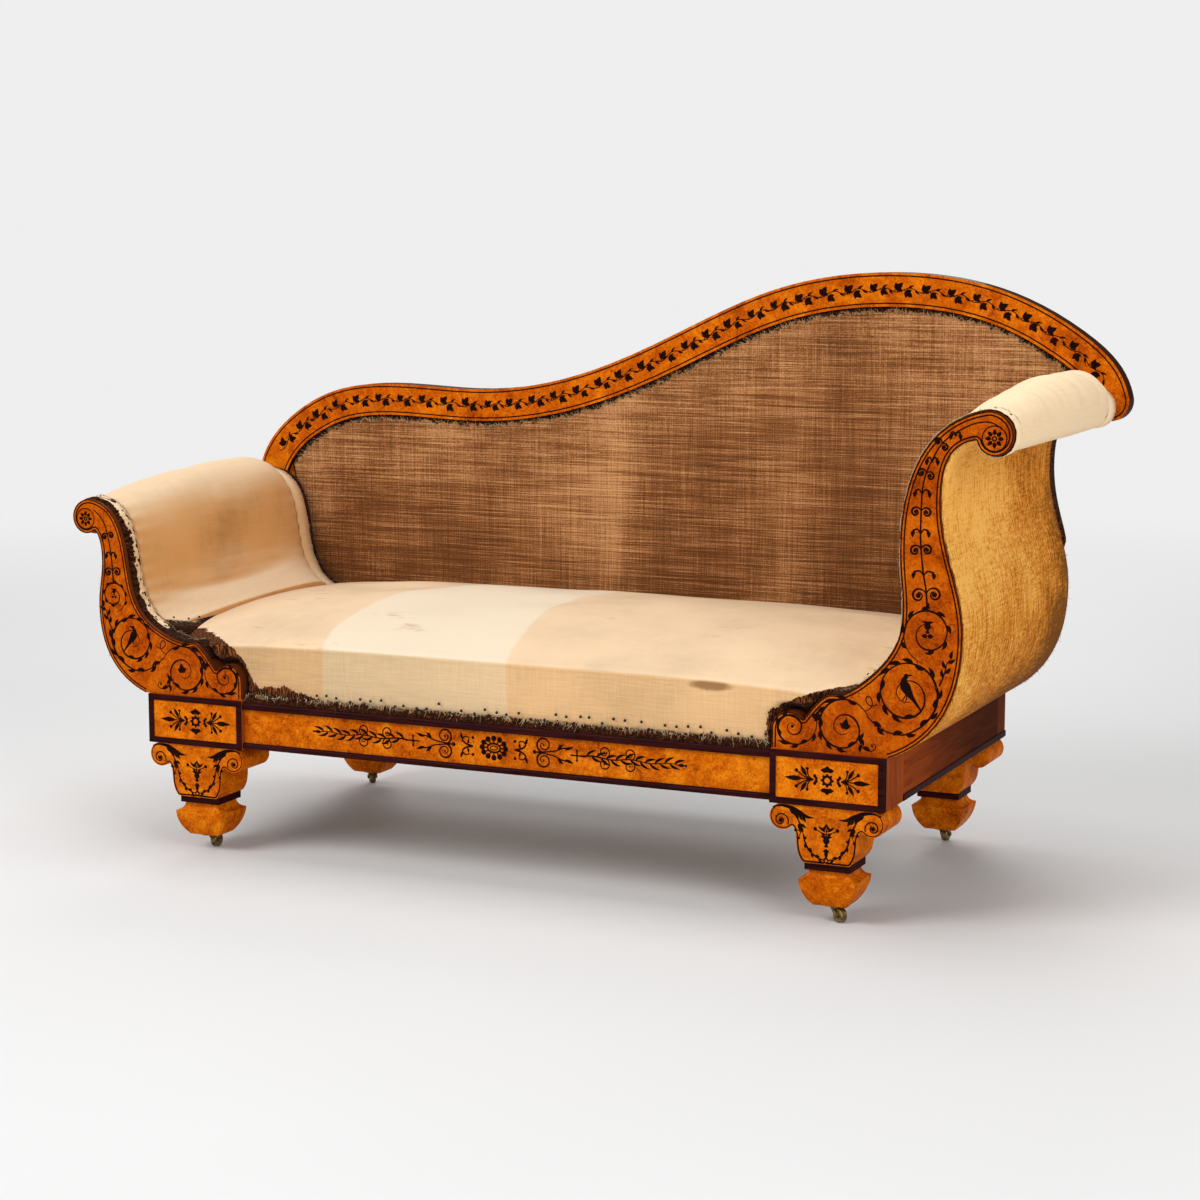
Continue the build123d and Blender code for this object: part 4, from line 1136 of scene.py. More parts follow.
def foot_ornament(word):
    """A front foot's capital: edge lines into spirals, acanthus over each scroll, a flower and garlands."""
    node = f"front_{word}_foot_capital"
    low, high = limits(node)
    middle = (low[0] + high[0]) / 2 - plinth_x
    loop = face_outline(node, low[1]) - (middle, plinth_bottom)
    start = np.argmax(np.where(loop[:, 1] > -0.05, loop[:, 0], -1e9))
    loop = np.roll(loop, -start - 1, axis=0)
    depth = low[2] - plinth_bottom
    for name, side in SIDES.items():
        inlay = Inlay(side, (middle, plinth_bottom), 1.3)
        edge = inner_line(loop, 2.4, lambda p: (p[:, 1] > depth + 1.5) & (p[:, 1] < -1.2))
        edge = edge[edge[:, 0] > 0][::-1] if side > 0 else edge[edge[:, 0] < 0] * (-1, 1)
        run = np.linspace(0, 1, len(edge))
        inlay.stroke(edge, np.interp(run, [0, 0.3, 0.55, 1], [1.5, 1.6, 2.6, 3.0]), 1.0)
        inlay.coil((74.5, -26.5), 207, (13.5, 10.5, 8.2, 6.4, 5.0, 4.2), -1, [1.6, 1.8, 1.5, 1.3])
        inlay.disc((74.5, -27.0), 3.6, 13)
        frond = eased([(88, -7), (74, -3.4), (58, -5.5), (45, -12), (32, -17.5), (19, -18.5)], 40)
        run = np.linspace(0, 1, 40)
        inlay.stroke(frond, np.interp(run, [0, 0.2, 0.45, 0.62, 0.85, 1], [2, 3.4, 7, 8.5, 4, 0.4]), 1.0)
        inlay.sprigs(frond, (0.42, 0.5, 0.58, 0.66, 0.74), 9.0, 3.4, 62, (1,))
        sprig = eased([(52, -14), (46, -24), (41, -33), (38, -42)], 20)
        inlay.stroke(sprig, np.linspace(1.4, 2.6, 20))
        inlay.sprigs(sprig, (0.55, 0.62, 0.72), 7.5, 3.2, 50)
        for spot in ((50, -40), (45, -52), (34, -51), (40, -37)):
            inlay.disc(spot, 2.4)
            inlay.stroke(np.linspace((40, -40), spot, 4), 1.0)
        garland = eased([(38, -43), (35, -56), (28, -69), (16, -79), (3, -83)], 36)
        inlay.stroke(garland, np.interp(np.linspace(0, 1, 36), [0, 0.45, 0.55, 1], [1.2, 2.6, 2.4, 1.2]))
        inlay.sprigs(garland, (0.3, 0.45, 0.6, 0.72, 0.84), 6.0, 2.8, 40)
        inlay.leaf((1, -38), 22, 13, 3.6, 20)
        inlay.disc((18, -35), 3.0)
        inlay.stroke(eased([(0, -43), (8, -40), (17, -36)], 8), 1.2)
        inlay.leaf((2, -46), 40, 8, 3.0)
        if side > 0:
            inlay.stroke([(0, -34), (0, -46)], 1.4)
            for spot in ((0, -29), (3, -32.5), (-3, -32.5)):
                inlay.disc(spot, 2.5)
            vase(inlay, (0, -54), 18)
            inlay.leaf((0, -64), -90, 16, 5.0)
            inlay.leaf((0, -66), -40, 6, 2.4)
            inlay.leaf((0, -66), -140, 6, 2.4)
            inlay.ring((0, -83.5), 3.4, 2.0, 21)
        inlay.place(f"front_{word}_foot_inlay_{name}", low[1])


def threads(name, roots, ways, lengths, material, seed, width=0.8):
    """Loose threads: thin three-sided tubes that leave their roots one way and droop as their run squared."""
    chance = np.random.default_rng(seed)
    count, rings, sides = len(roots), 5, 3
    share = np.linspace(0, 1, rings)[None, :, None]
    stray = chance.normal(0, 0.45, (count, 1, 3))
    droop = np.array([0.0, 0.0, -1.0]) * chance.uniform(0.0, 0.7, (count, 1, 1))
    length = np.asarray(lengths)[:, None, None]
    line = np.asarray(roots)[:, None, :] + length * (
        (np.asarray(ways)[:, None, :] + stray * share) * share + droop * share**2)
    ahead = unit(line[:, -1] - line[:, 0])
    side = unit(np.cross(ahead, chance.normal(0, 1, (count, 3))))
    turn = (np.arange(sides) * 2 * math.pi / sides)[None, :, None]
    ring = np.cos(turn) * side[:, None] + np.sin(turn) * np.cross(ahead, side)[:, None]
    half = (width / 2) * (1 - 0.7 * share) * chance.uniform(0.6, 1.4, (count, 1, 1))
    points = line[:, :, None] + ring[:, None] * half[..., None]
    first = (np.arange(count) * rings * sides)[:, None, None]
    walls = (grid_faces(rings, sides, True)[None] + first).reshape(-1, 4)
    caps = (np.array([[2, 1, 0], [12, 13, 14]])[None] + first).reshape(-1, 3)
    piece = put_mesh(name, points.reshape(-1, 3), walls.tolist() + caps.tolist(), material)
    return piece


def tack_heads(name, centres, normals, radius):
    """Round iron tack heads: rings of a dome round each centre, turned to its normal."""
    normals = np.broadcast_to(normals, centres.shape)
    sides = 8
    turn = np.linspace(0, 2 * math.pi, sides + 1)[:-1]
    rings = [(1.0, 0.0), (0.94, 0.3), (0.62, 0.55), (0.2, 0.68)]
    across = unit(np.cross(normals, (0.31, 0.52, 0.79)))
    other = np.cross(normals, across)
    flat = np.concatenate([
        np.stack([r * np.cos(turn), r * np.sin(turn), np.full(sides, h)], 1) for r, h in rings]) * radius
    points = (
        centres[:, None, :] + across[:, None, :] * flat[None, :, :1] + other[:, None, :] * flat[None, :, 1:2]
        + normals[:, None, :] * flat[None, :, 2:])
    first = (np.arange(len(centres)) * len(flat))[:, None]
    faces = (grid_faces(len(rings), sides, True)[None] + first[..., None]).reshape(-1, 4).tolist()
    caps = (np.arange(24, 32)[None] + first).tolist() + (np.arange(7, -1, -1)[None] + first).tolist()
    put_mesh(name, points.reshape(-1, 3), faces + caps, iron_finish())


def settle(piece, pinned, pressure, cap, grid):
    """Let a closed pad swell as cloth under pressure, with no point moving further than the cap, in mm.

    The moves are then averaged four times with those of the grid's neighbours, so that no buckle stays sharp.
    """
    group = piece.vertex_groups.new(name="tacked")
    group.add(np.flatnonzero(pinned).tolist(), 1.0, "REPLACE")
    before = np.zeros(len(piece.data.vertices) * 3)
    piece.data.vertices.foreach_get("co", before)
    cloth = piece.modifiers.new("Cloth", "CLOTH")
    cloth.settings.vertex_group_mass = "tacked"
    cloth.settings.use_pressure = True
    cloth.settings.uniform_pressure_force = pressure
    cloth.settings.tension_stiffness = 25.0
    cloth.settings.compression_stiffness = 8.0
    cloth.settings.bending_stiffness = 0.4
    cloth.settings.quality = 5
    cloth.settings.effector_weights.gravity = 0.0
    scene = bpy.context.scene
    for moment in range(1, 21):
        scene.frame_set(moment)
    swollen = piece.evaluated_get(bpy.context.evaluated_depsgraph_get()).to_mesh()
    after = np.zeros(len(before))
    swollen.vertices.foreach_get("co", after)
    piece.modifiers.remove(cloth)
    scene.frame_set(1)
    move = (after - before).reshape(-1, 3)
    size = np.linalg.norm(move, axis=1, keepdims=True)
    move *= np.minimum(1.0, cap * MM / np.maximum(size, 1e-9))
    field = move[: grid[0] * grid[1]].reshape(*grid, 3)
    for _ in range(4):
        field[1:-1] = (field[:-2] + 2 * field[1:-1] + field[2:]) / 4
        field[:] = (np.roll(field, 1, 1) + 2 * field + np.roll(field, -1, 1)) / 4
    piece.data.vertices.foreach_set("co", (before + move.ravel()))
    piece.data.update()


def closed_tube(sections, banded=False):
    """Points and faces of a tube through closed sections, shaped (stations, points, 3), with its ends closed.

    A full section's end is a fan round its mean point. A banded section runs out and back along one line,
    so its end is a row of quads across the band.
    """
    stations, count, _ = sections.shape
    faces = grid_faces(stations, count, True).tolist()
    points = sections.reshape(-1, 3)
    base = (stations - 1) * count
    if banded:
        here = np.arange(count // 2 - 1)
        cap = np.stack([here, count - 1 - here, count - 2 - here, here + 1], 1)
        return points, faces + cap.tolist() + (turned_over(cap) + base).tolist()
    ends = np.stack([sections[0].mean(0), sections[-1].mean(0)])
    ring = np.arange(count)
    after = (ring + 1) % count
    first, last = len(points), len(points) + 1
    faces += np.stack([np.full(count, first), after, ring], 1).tolist()
    faces += np.stack([np.full(count, last), base + ring, base + after], 1).tolist()
    return np.concatenate([points, ends]), faces


def board_edge_height(word):
    """The arm board's inner edge near the seat, as rising (out, up) points from its toe to its knee."""
    line = ARM_LINES[word]
    inner = line[np.argmax(line[:, 1]):]
    inner = inner[(inner[:, 1] > 0.5)][::-1]
    knee = np.argmax(inner[:, 0] > 8.0)
    inner = inner[: knee + 1]
    return inner[np.concatenate([[True], np.diff(np.maximum.accumulate(inner[:, 0])) > 0])]


def seat_sections(stations=128, around=150):
    """The seat pad's sections: a bowed front, a rolled ridge, a crowned top and a flat back and foot.

    Heights fall towards the ends as the fourth power of the station. The ends flare out over the plinth
    as a smooth step of the height. Near the arms the front and the back draw in between the boards.
    """
    station = np.linspace(-1, 1, stations)
    fall = 1 - station**4
    base = pad_low[2] + 0.4
    front, back = pad_low[1] + 1.0, pad_high[1] - 0.5
    crown = sizes().seat_crown / MM - 6.0
    ridge = SEAT_RIDGE + SEAT_RIDGE_RISE * fall
    top = 382.0 + (crown - 382.0) * fall
    heel = 376.0 + 22.0 * fall
    share = np.linspace(0, 1, 9)
    depth = front + 24.0 + (back - front - 24.0) * share
    peak = 0.58
    hump = 1 - np.where(share < peak, (1 - share / peak) ** 2, ((share - peak) / (1 - peak)) ** 2)
    rise = np.where(
        share[:, None] < peak, ridge + 7.0 + (top - ridge - 7.0) * hump[:, None],
        heel + (top - heel) * hump[:, None])
    chance = np.random.default_rng(SEED + 71)
    rise[1:-1] += eased(chance.normal(0, 1.6, (16, 7)), stations).T * fall
    flat = np.ones(stations)
    rows = [
        (front + 6.0, base * flat), (front + 1.5, base + 0.3 * (ridge - base)),
        (front + 0.5, base + 0.62 * (ridge - base)), (front + 0.5, ridge - 10.0), (front, ridge - 4.0),
        (front + 1.2, ridge), (front + 5.0, ridge + 2.6), (front + 13.0, ridge + 5.0),
    ]
    rows += list(zip(depth, rise))
    rows += [(back, heel - 22.0), (back, base + 0.4 * (heel - base)), (back, base * flat)]
    rows += [(y, base * flat) for y in np.linspace(back, front + 6.0, 9)[1:]]
    loop = np.stack([np.stack([y * flat, z], 1) for y, z in rows])
    dense = eased(loop, 3000)
    run = along(dense[:, stations // 2])
    turn_at = run[np.argmax(dense[:, stations // 2, 1] > ridge.max())]
    dense_share = np.cumsum(1 + 4.0 * np.exp(-(((run - turn_at) / 16.0) ** 2)))
    stops = np.linspace(dense_share[0], dense_share[-1], around + 1)[:-1]
    index = np.searchsorted(dense_share, stops)
    section = dense[index].transpose(1, 0, 2)
    y, z = section[..., 0], section[..., 1]
    z = np.maximum(z, base)
    flare = smooth_step(z, base, base + 70.0)
    left = -half_length + 6.0 + flare * (pad_low[0] - plinth_x + half_length - 6.0 + 1.0)
    right = half_length - 6.0 + flare * (pad_high[0] - plinth_x - half_length + 6.0 - 1.0)
    x = (left + right) / 2 + station[:, None] * (right - left) / 2
    for word, side in SIDES.items():
        edge = board_edge_height(word)
        out = side * x - half_length
        over = z - plinth_top - np.interp(out, edge[:, 0], edge[:, 1], left=-1e3, right=1e3)
        tuck = 1 - smooth_step(over, 2.0, 16.0)
        limit = board_back + 2.0
        y = np.where(y < limit, y + (limit - y) * tuck, y)
        rear = rear_board_front - 2.0
        y = np.where(y > rear, y + (rear - y) * tuck, y)
    return np.stack([x + plinth_x, y, z], -1)


def seat_bareness(points):
    """How far the muslin is torn away on the front: 0.5 on the tear's line and more beyond it.

    The tear runs down beside each arm board and along the hem, as measured (x, z) points.
    """
    x, y, z = points.T
    x = x - plinth_x
    back = 1.1 * np.maximum(y - pad_low[1] - 4.0, 0.0)
    left = np.interp(z, (300, 308, 331, 355, 368, 378), (-455, -461, -470, -490, -512, -520)) - x - back
    right = x - np.interp(z, (320, 328, 338, 354, 370, 381, 395), (464, 470, 485, 519, 567, 592, 610))
    right = right - back * smooth_step(z, 352.0, 380.0)
    hem = np.interp(x, (-470, -440, -395, -366, -328, -270, 480), (297, 295, 300, 292, 281, 279, 280)) - z
    tear = np.maximum(np.maximum(left, right), hem)
    return np.clip(0.5 + tear / 26.0, 0, 1) * smooth_step(-y, 180.0, 250.0)


def seat_pad_piece():
    """The stuffed seat, swollen as cloth between its tacked edges."""
    sections = seat_sections()
    points, faces = closed_tube(sections)
    piece = put_mesh("seat_muslin_pad", points, faces, seat_muslin_finish())
    tacked = (points[:, 2] < pad_low[2] + 14.0) | (points[:, 1] > pad_high[1] - 3.0)
    tacked |= np.abs(points[:, 0] - plinth_x) > half_length - 20.0
    settle(piece, tacked, 2.5, 6.0, sections.shape[:2])
    store(piece, "bare", seat_bareness(points))
    ridge = SEAT_RIDGE + SEAT_RIDGE_RISE * (1 - ((points[:, 0] - plinth_x) / half_length) ** 4)
    below = 1 - smooth_step(points[:, 2] - ridge, -3.0, 2.5)
    # The front band below the ridge, which the seat's finish darkens as painted shade.
    store(piece, "front", smooth_step(-points[:, 1], 296.0, 310.0) * below)
    finish_pad(piece, "seat_pad")


def arm_pad_sections(word, stations=84):
    """An arm pad's sections: the board's edge from under the scroll over the roll to the seat, swollen.

    The swell rises as one less the 2.2nd power of the distance before its peak, at 0.76 of the depth, and
    falls as the fourth power behind it, times how much the edge faces up. Small tucks pull in at the tacks
    and soft rings run round the roll. The hidden side runs back 20 mm inside the edge.
    """
    path = pad_line(word, 5.0)
    outward = -beside(path)
    run = along(path)
    lead = smooth_step(run, 0.0, 40.0)
    tail = smooth_step(run[-1] - run, 0.0, 60.0)
    share = np.linspace(0, 1, stations)
    peak = 0.76
    swell = np.where(
        share < peak, 1 - np.maximum(1 - share / peak, 0) ** 2.2,
        1 - np.maximum((share - peak) / (1 - peak), 0) ** 4)
    upward = np.maximum(outward[:, 1], 0)
    lift = sizes().arm_swell / MM * upward ** 0.8 + 3.0 * lead * tail
    chance = np.random.default_rng(SEED + 51 + SIDES[word])
    uneven = eased(eased(chance.normal(0, 1.3, (7, 9)), stations).T, len(path)).T * swell[:, None]
    rings = eased(eased(chance.normal(0, 0.9, (30, 6)), stations).T, len(path)).T
    uneven += rings * (1.7 if SIDES[word] > 0 else 0.4) * upward[None, :]
    rim = np.exp(-np.minimum(share, 1 - share) * (rear_board_front - board_back) / 22.0)
    held = (lead * tail)[None, :]
    tucks = 1.3 * rim[:, None] * (1 + np.cos(2 * math.pi * run / 24.0))[None, :] * held
    reach = -1.0 + swell[:, None] * lift[None, :] + uneven * held - tucks
    seen = path[None] + outward[None] * reach[..., None]
    hidden = (path - outward * 20.0)[::-1]
    section = np.concatenate([seen, np.broadcast_to(hidden, (stations,) + hidden.shape)], 1)
    depth = board_back + 1.0 + (rear_board_front - board_back - 2.0) * share
    return at_depth(arm_points(word, section), depth[:, None]), len(path), share


def arm_pad_piece(word):
    """A stuffed arm pad, swollen as cloth and tacked along both boards."""
    sections, seen, share = arm_pad_sections(word)
    points, faces = closed_tube(sections, True)
    if SIDES[word] > 0:
        faces = [face[::-1] for face in faces]
    piece = put_mesh(f"{word}_arm_muslin_pad", points, faces, arm_muslin_finish())
    stations, count, _ = sections.shape
    column = np.arange(count)[None, :] * np.ones((stations, 1))
    near_board = (np.minimum(share, 1 - share) < 0.02)[:, None] * np.ones((1, count))
    tacked = ((column >= seen) | (near_board > 0)).ravel()
    settle(piece, tacked, 1.2, 4.0, sections.shape[:2])
    rim = 1 - smooth_step(np.minimum(share, 1 - share), 0.0, 0.05)
    store(piece, "rim", np.repeat(rim, count))
    # Painted highlight: the high arm's muslin is made paler where its roll is lit.
    store(piece, "pale", np.full(len(points), HIGH_ARM_PAINTED_HIGHLIGHT if SIDES[word] > 0 else 0.0))
    finish_pad(piece, f"{word}_arm_pad")


def outer_cover_piece(word):
    """Hessian stretched over the outside of an arm: the board's outer S carried through the arm's depth.

    It lies 0.9 mm over the boards' edges and fills out by 2.6 mm in the middle, as a half sine both ways.
    """
    path = even(outer_line(word), 8.0)[:-1]
    outward = -beside(path)
    share = np.linspace(0, 1, 48)
    start, stop = board_front + 5.0, rear_board_front + 30.0
    middle = np.sin(math.pi * np.linspace(0, 1, len(path)))[None, :]
    fill = 0.9 + 2.6 * np.sin(math.pi * share)[:, None] * middle
    flat = arm_points(word, path[None] + outward[None] * fill[..., None])
    chance = np.random.default_rng(SEED + 61 + SIDES[word])
    rag = chance.uniform(-2.0, 2.0, (2, len(path)))
    depth = (start + rag[0])[None] + (stop + rag[1] - start - rag[0])[None] * share[:, None]
    points = at_depth(flat, depth)
    piece = put_sheet(f"{word}_arm_hessian", points, outer_hessian_finish(), 1.2, SIDES[word] > 0)
    (stop - start) * MM
    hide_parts(f"{word}_arm_outer_cover")


def back_sheet_piece(node, name, finish, at, facing, belly):
    """A sheet from the crest down to the plinth: lines ruled from the upper edge to the straight hem.

    It sinks by a belly that is a half sine both along and down the sheet, and its ends stay inside the arms'
    outer lines. The points along its two steep ends are given back.
    """
    low = limits(node)[0]
    loop = face_outline(node, low[1])
    hem = loop[:, 1] < low[2] + 0.05
    corner = np.flatnonzero(hem)[np.argmax(loop[hem, 0])]
    upper = np.roll(loop, -corner, axis=0)
    upper = upper[: np.flatnonzero(upper[:, 1] < low[2] + 0.05)[1] + 1]
    upper = even(upper, 12.0)[::-1]
    lower = np.linspace(upper[0], upper[-1], len(upper))
    down = np.linspace(0, 1, 60)[:, None, None]
    flat = upper[None] * (1 - down) + lower[None] * down
    for word, side in SIDES.items():
        outer = outer_line(word)
        reach = half_length - 3.0 + np.interp(flat[..., 1] - plinth_top, outer[:, 1], outer[:, 0], right=1e3)
        over = np.maximum(side * flat[..., 0] - reach, 0.0)
        flat[..., 0] -= side * over
    bow = belly * np.sin(math.pi * down[..., 0]) * np.sin(math.pi * np.linspace(0, 1, len(upper)))[None, :]
    points = at_depth(flat + (plinth_x, 0), at + bow)
    piece = put_sheet(name, points, finish, 1.2, facing < 0)
    across = np.roll(loop, -1, axis=0)
    area = abs(np.sum(loop[:, 0] * across[:, 1] - across[:, 0] * loop[:, 1])) / 2
    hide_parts(node)
    steep = np.abs(np.diff(upper[:, 1])) > 0.75 * np.linalg.norm(np.diff(upper, axis=0), axis=1)
    return {word: points[0][::-side][: np.argmin(steep[::-side]) + 1] for word, side in SIDES.items()}


def back_end_piece(word, front, rear, finish):
    """Dark cloth across an end of the back: lines ruled from the front sheet's end to the rear sheet's."""
    heights = np.linspace(max(front[0, 2], rear[0, 2]), min(front[-1, 2], rear[-1, 2]), 40)
    front, rear = (sampled(heights, edge[:, 2], edge) for edge in (front, rear))
    share = np.linspace(0, 1, 8)[None, :, None]
    points = front[:, None] * (1 - share) + rear[:, None] * share
    piece = put_sheet(f"{word}_back_end_cloth", points, finish, 1.0, SIDES[word] > 0)
    wide = np.linalg.norm(rear - front, axis=1).mean()


def webbing_piece():
    """Jute bands under the seat that pass over and under each other as a sine of their run."""
    low, high = limits("seat_webbing")
    band, steps = 52.0, 121
    edge_x, edge_y = 120, 70
    points, faces, total, cut = [], [], 0, 0.0
    level = (low[2] + high[2]) / 2
    runs = [("x", y) for y in np.linspace(low[1] + edge_y, high[1] - edge_y, 5)]
    runs += [("y", x) for x in np.linspace(low[0] + edge_x, high[0] - edge_x, 10)]
    across = np.linspace(-band / 2, band / 2, 5)
    quads = grid_faces(steps, len(across))
    for index, (way, at) in enumerate(runs):
        lengthwise = way == "x"
        start, stop = (low[0] + 2, high[0] - 2) if lengthwise else (low[1] + 2, high[1] - 2)
        run = np.linspace(start, stop, steps)
        pitch = (high[0] - low[0] - 2 * edge_x) / 9 if lengthwise else (high[1] - low[1] - 2 * edge_y) / 4
        offset = low[0] + edge_x if lengthwise else low[1] + edge_y
        wave = 0.9 * np.cos(math.pi * (run - offset) / pitch + math.pi * index)
        wave = wave if lengthwise else -wave
        a, b, z = np.broadcast_arrays(run[:, None], at + across[None, :], (level + wave)[:, None])
        points.append(np.stack([a, b, z] if lengthwise else [b, a, z], -1).reshape(-1, 3))
        faces.append((turned_over(quads) if lengthwise else quads) + total)
        total += len(points[-1])
        cut += stop - start
    piece = put_mesh(
        "seat_webbing_bands", np.concatenate(points), np.concatenate(faces),
        plain_cloth_finish("jute_webbing", colours().jute, 300.0), [solid(1.2)])
    cut * MM
    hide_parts("seat_webbing")


def edge_strip_piece(word, rear):
    """Old tacking cloth over part of a board's inner edge: the edge's line carried across it, with lumps."""
    line = ARM_LINES[word]
    inner = line[np.argmax(line[:, 1]) - 6:]
    path = even(inner[inner[:, 1] > 60.0], 4.0)
    outward = -beside(path)
    chance = np.random.default_rng(SEED + SIDES[word] + 3 * rear)
    start, stop = board_front + (8.0 if SIDES[word] < 0 else 2.5), board_back + 2.0
    if rear:
        start, stop = rear_board_front + 6.0, rear_board_front + 36.5
    tallest = 0.9 if rear or SIDES[word] > 0 else 2.4
    lumps = eased(chance.uniform(0.1, tallest, (len(path) // 2, 7)), len(path))
    lumps[:, 0] = 0.1
    lumps[[0, -1]] = 0.1
    flat = arm_points(word, path[:, None] + outward[:, None] * lumps[..., None])
    put_strip(
        f"{word}_arm_{'rear' if rear else 'front'}_tack_strip", at_depth(flat, np.linspace(start, stop, 7)),
        stuffing_finish(), 1.0, SIDES[word] > 0)
    return path, outward


def frayed_arm(word):
    """The tacking strips of an arm's two boards, with tacks and loose muslin threads along the front one."""
    path, outward = edge_strip_piece(word, False)
    edge_strip_piece(word, True)
    chance = np.random.default_rng(SEED + 7 + SIDES[word])
    spots = even(path, 24.0)
    normal = -beside(spots)
    where = arm_points(word, spots + normal * 2.2)
    way = arm_points(word, spots + normal) - arm_points(word, spots)
    depth = board_back - 8.0 + chance.uniform(-4, 4, len(spots))
    tack_heads(f"{word}_arm_tacks", at_depth(where, depth), at_depth(way, 0.0), 2.4)
    run = along(path)
    count = int(run[-1] / 1.1)
    pick = np.sort(chance.uniform(0, run[-1], count))
    roots, lift = sampled(pick, run, path), sampled(pick, run, outward)
    flat = arm_points(word, roots + lift * chance.uniform(1.0, 3.5, (count, 1)))
    turn = arm_points(word, roots + lift) - arm_points(word, roots)
    lengths = sizes().fringe_length / MM * chance.uniform(0.3, 1.0, count)
    threads(
        f"{word}_arm_fray", at_depth(flat, board_back + 4.0), at_depth(turn * 0.35, -1.0), lengths,
        thread_finish("muslin_threads", MUSLIN_THREAD), SEED + 21 + SIDES[word])


def muslin_edge(word, rear):
    """The ragged edge of an arm's muslin, lapped over a board's edge: the pad's line carried across it."""
    path = pad_line(word, 3.0)
    outward = -beside(path)
    count = len(path)
    chance = np.random.default_rng(SEED + 81 + SIDES[word] + 4 * rear)
    rag = chance.normal(0, 1.6, count) + eased(chance.normal(0, 2.0, count // 5), count)
    if rear:
        far = rear_board_front + (25.0 if SIDES[word] < 0 else 33.0) + 0.5 * rag
        rows = (rear_board_front - 9.0, rear_board_front + 8.0, far)
    else:
        lap = 14.0 if SIDES[word] < 0 else board_back - board_front - 6.0
        rows = (np.maximum(board_back - lap + rag, board_front + 3.0), board_back + 1.0, board_back + 9.0)
    lift = np.array([-1.5, 1.0, 1.3] if rear else [2.2, 1.6, -1.5]) + chance.uniform(0, 0.5, (count, 3))
    flat = arm_points(word, path[:, None] + outward[:, None] * lift[..., None])
    piece = put_strip(
        f"{word}_arm_muslin_{'rear' if rear else 'front'}_edge",
        at_depth(flat, np.stack(np.broadcast_arrays(*rows), 1)), arm_muslin_finish(), 0.6, SIDES[word] > 0)
    store(piece, "rim", np.tile([0.0, 0.0, 0.4] if rear else [0.5, 0.2, 0.0], count))
    # The high arm's edge takes the same painted highlight as its pad.
    store(piece, "pale", np.full(3 * count, HIGH_ARM_PAINTED_HIGHLIGHT if SIDES[word] > 0 else 0.3))


def arm_foot(word):
    """Where an arm meets the seat: a dark gap with tacks and loose threads along the muslin's hem."""
    line = ARM_LINES[word]
    inner = line[np.argmax(line[:, 1]):]
    high, low = (inner[np.argmin(np.abs(inner[:, 1] - up))] for up in (122.0, 100.0))
    chance = np.random.default_rng(SEED + 91 + SIDES[word])
    steps = 90
    stops = np.linspace(0, 1, steps)
    rows = np.linspace(board_back + 4.0, rear_board_front - 12.0, steps)
    wide = eased(chance.uniform(0.3, 1.0, 18), steps) * np.linspace(1.0, 0.45, steps)
    upper = low + (high - low) * (0.15 + 0.75 * wide)[:, None] + (-4.5, 1.0)
    across = np.stack([upper, np.broadcast_to(low + (-9.0, -2.0), upper.shape)], 1)
    put_strip(
        f"{word}_arm_foot_gap", at_depth(arm_points(word, across), rows[:, None]), stuffing_finish(), 1.0,
        SIDES[word] < 0)
    count = 420
    row = chance.uniform(0, 1, count)
    spot = arm_points(word, sampled(row, stops, upper) + (-1.5, 1.0))
    inward = -SIDES[word] * chance.uniform(0.2, 0.8, count)
    ways = np.stack([inward, chance.normal(0, 0.4, count), np.full(count, -0.5)], 1)
    lengths = chance.uniform(3, 9, count)
    threads(
        f"{word}_arm_foot_fray", at_depth(spot, np.interp(row, stops, rows)), ways, lengths,
        thread_finish("muslin_threads", MUSLIN_THREAD), SEED + 95, 1.0)
    spots = np.linspace(0.03, 0.97, 17)
    where = arm_points(word, sampled(spots, stops, upper) + (-3.0, 5.0))
    tack_heads(
        f"{word}_arm_foot_tacks", at_depth(where, np.interp(spots, stops, rows)),
        (-SIDES[word] * 0.8, 0.0, 0.6), 2.3)


def hem_strip():
    """Dark old cloth under the seat's torn hem: a lumpy band along the top of the front rail."""
    chance = np.random.default_rng(SEED + 101)
    count = 240
    x = np.linspace(-474.0, 474.0, count)[:, None] + plinth_x
    lump = eased(chance.uniform(0.2, 2.4, (80, 4)), count)
    heights = plinth_top + np.array([-8.0, -3.0, 3.0, 8.0])
    faces = np.array([panel_low[1] - 0.4, panel_low[1] - 0.8, pad_low[1] - 0.2, pad_low[1] + 2.0])
    rise = eased(chance.normal(0, 1.2, (120, 4)), count) * (0.2, 1, 1, 2)
    points = np.stack(np.broadcast_arrays(x, faces - lump * (0.3, 1, 1, 0.6), heights + rise), -1)
    put_strip(
        "seat_hem_strip", points, stuffing_finish(), 1.0, True)


def frayed_seat():
    """Loose threads and a ragged row of tacks along the seat's front hem."""
    chance = np.random.default_rng(SEED + 3)
    count = 620
    x = plinth_x + chance.uniform(-470, 470, count)
    start = np.stack([
        x, np.full(count, pad_low[1] + 1.0), plinth_top + 10.0 + chance.normal(0, 2.0, count)], 1)
    ways = np.stack([chance.normal(0, 0.35, count), np.full(count, -0.25), np.full(count, -0.8)], 1)
    lengths = sizes().fringe_length / MM * chance.uniform(0.25, 0.9, count)
    finish = thread_finish("muslin_threads", MUSLIN_THREAD)
    threads("seat_hem_fray", start, ways, lengths, finish, SEED + 4, 1.0)
    spots = np.arange(-462, 463, 21.0)
    count = len(spots)
    spots = plinth_x + (spots + chance.uniform(-4, 4, count))
    heights = plinth_top + 14.0 + chance.uniform(-4, 9, count)
    centres = np.stack([spots, np.full(count, pad_low[1] + 0.6), heights], 1)
    tack_heads("seat_hem_tacks", centres, (0.0, -1.0, 0.0), 2.6)


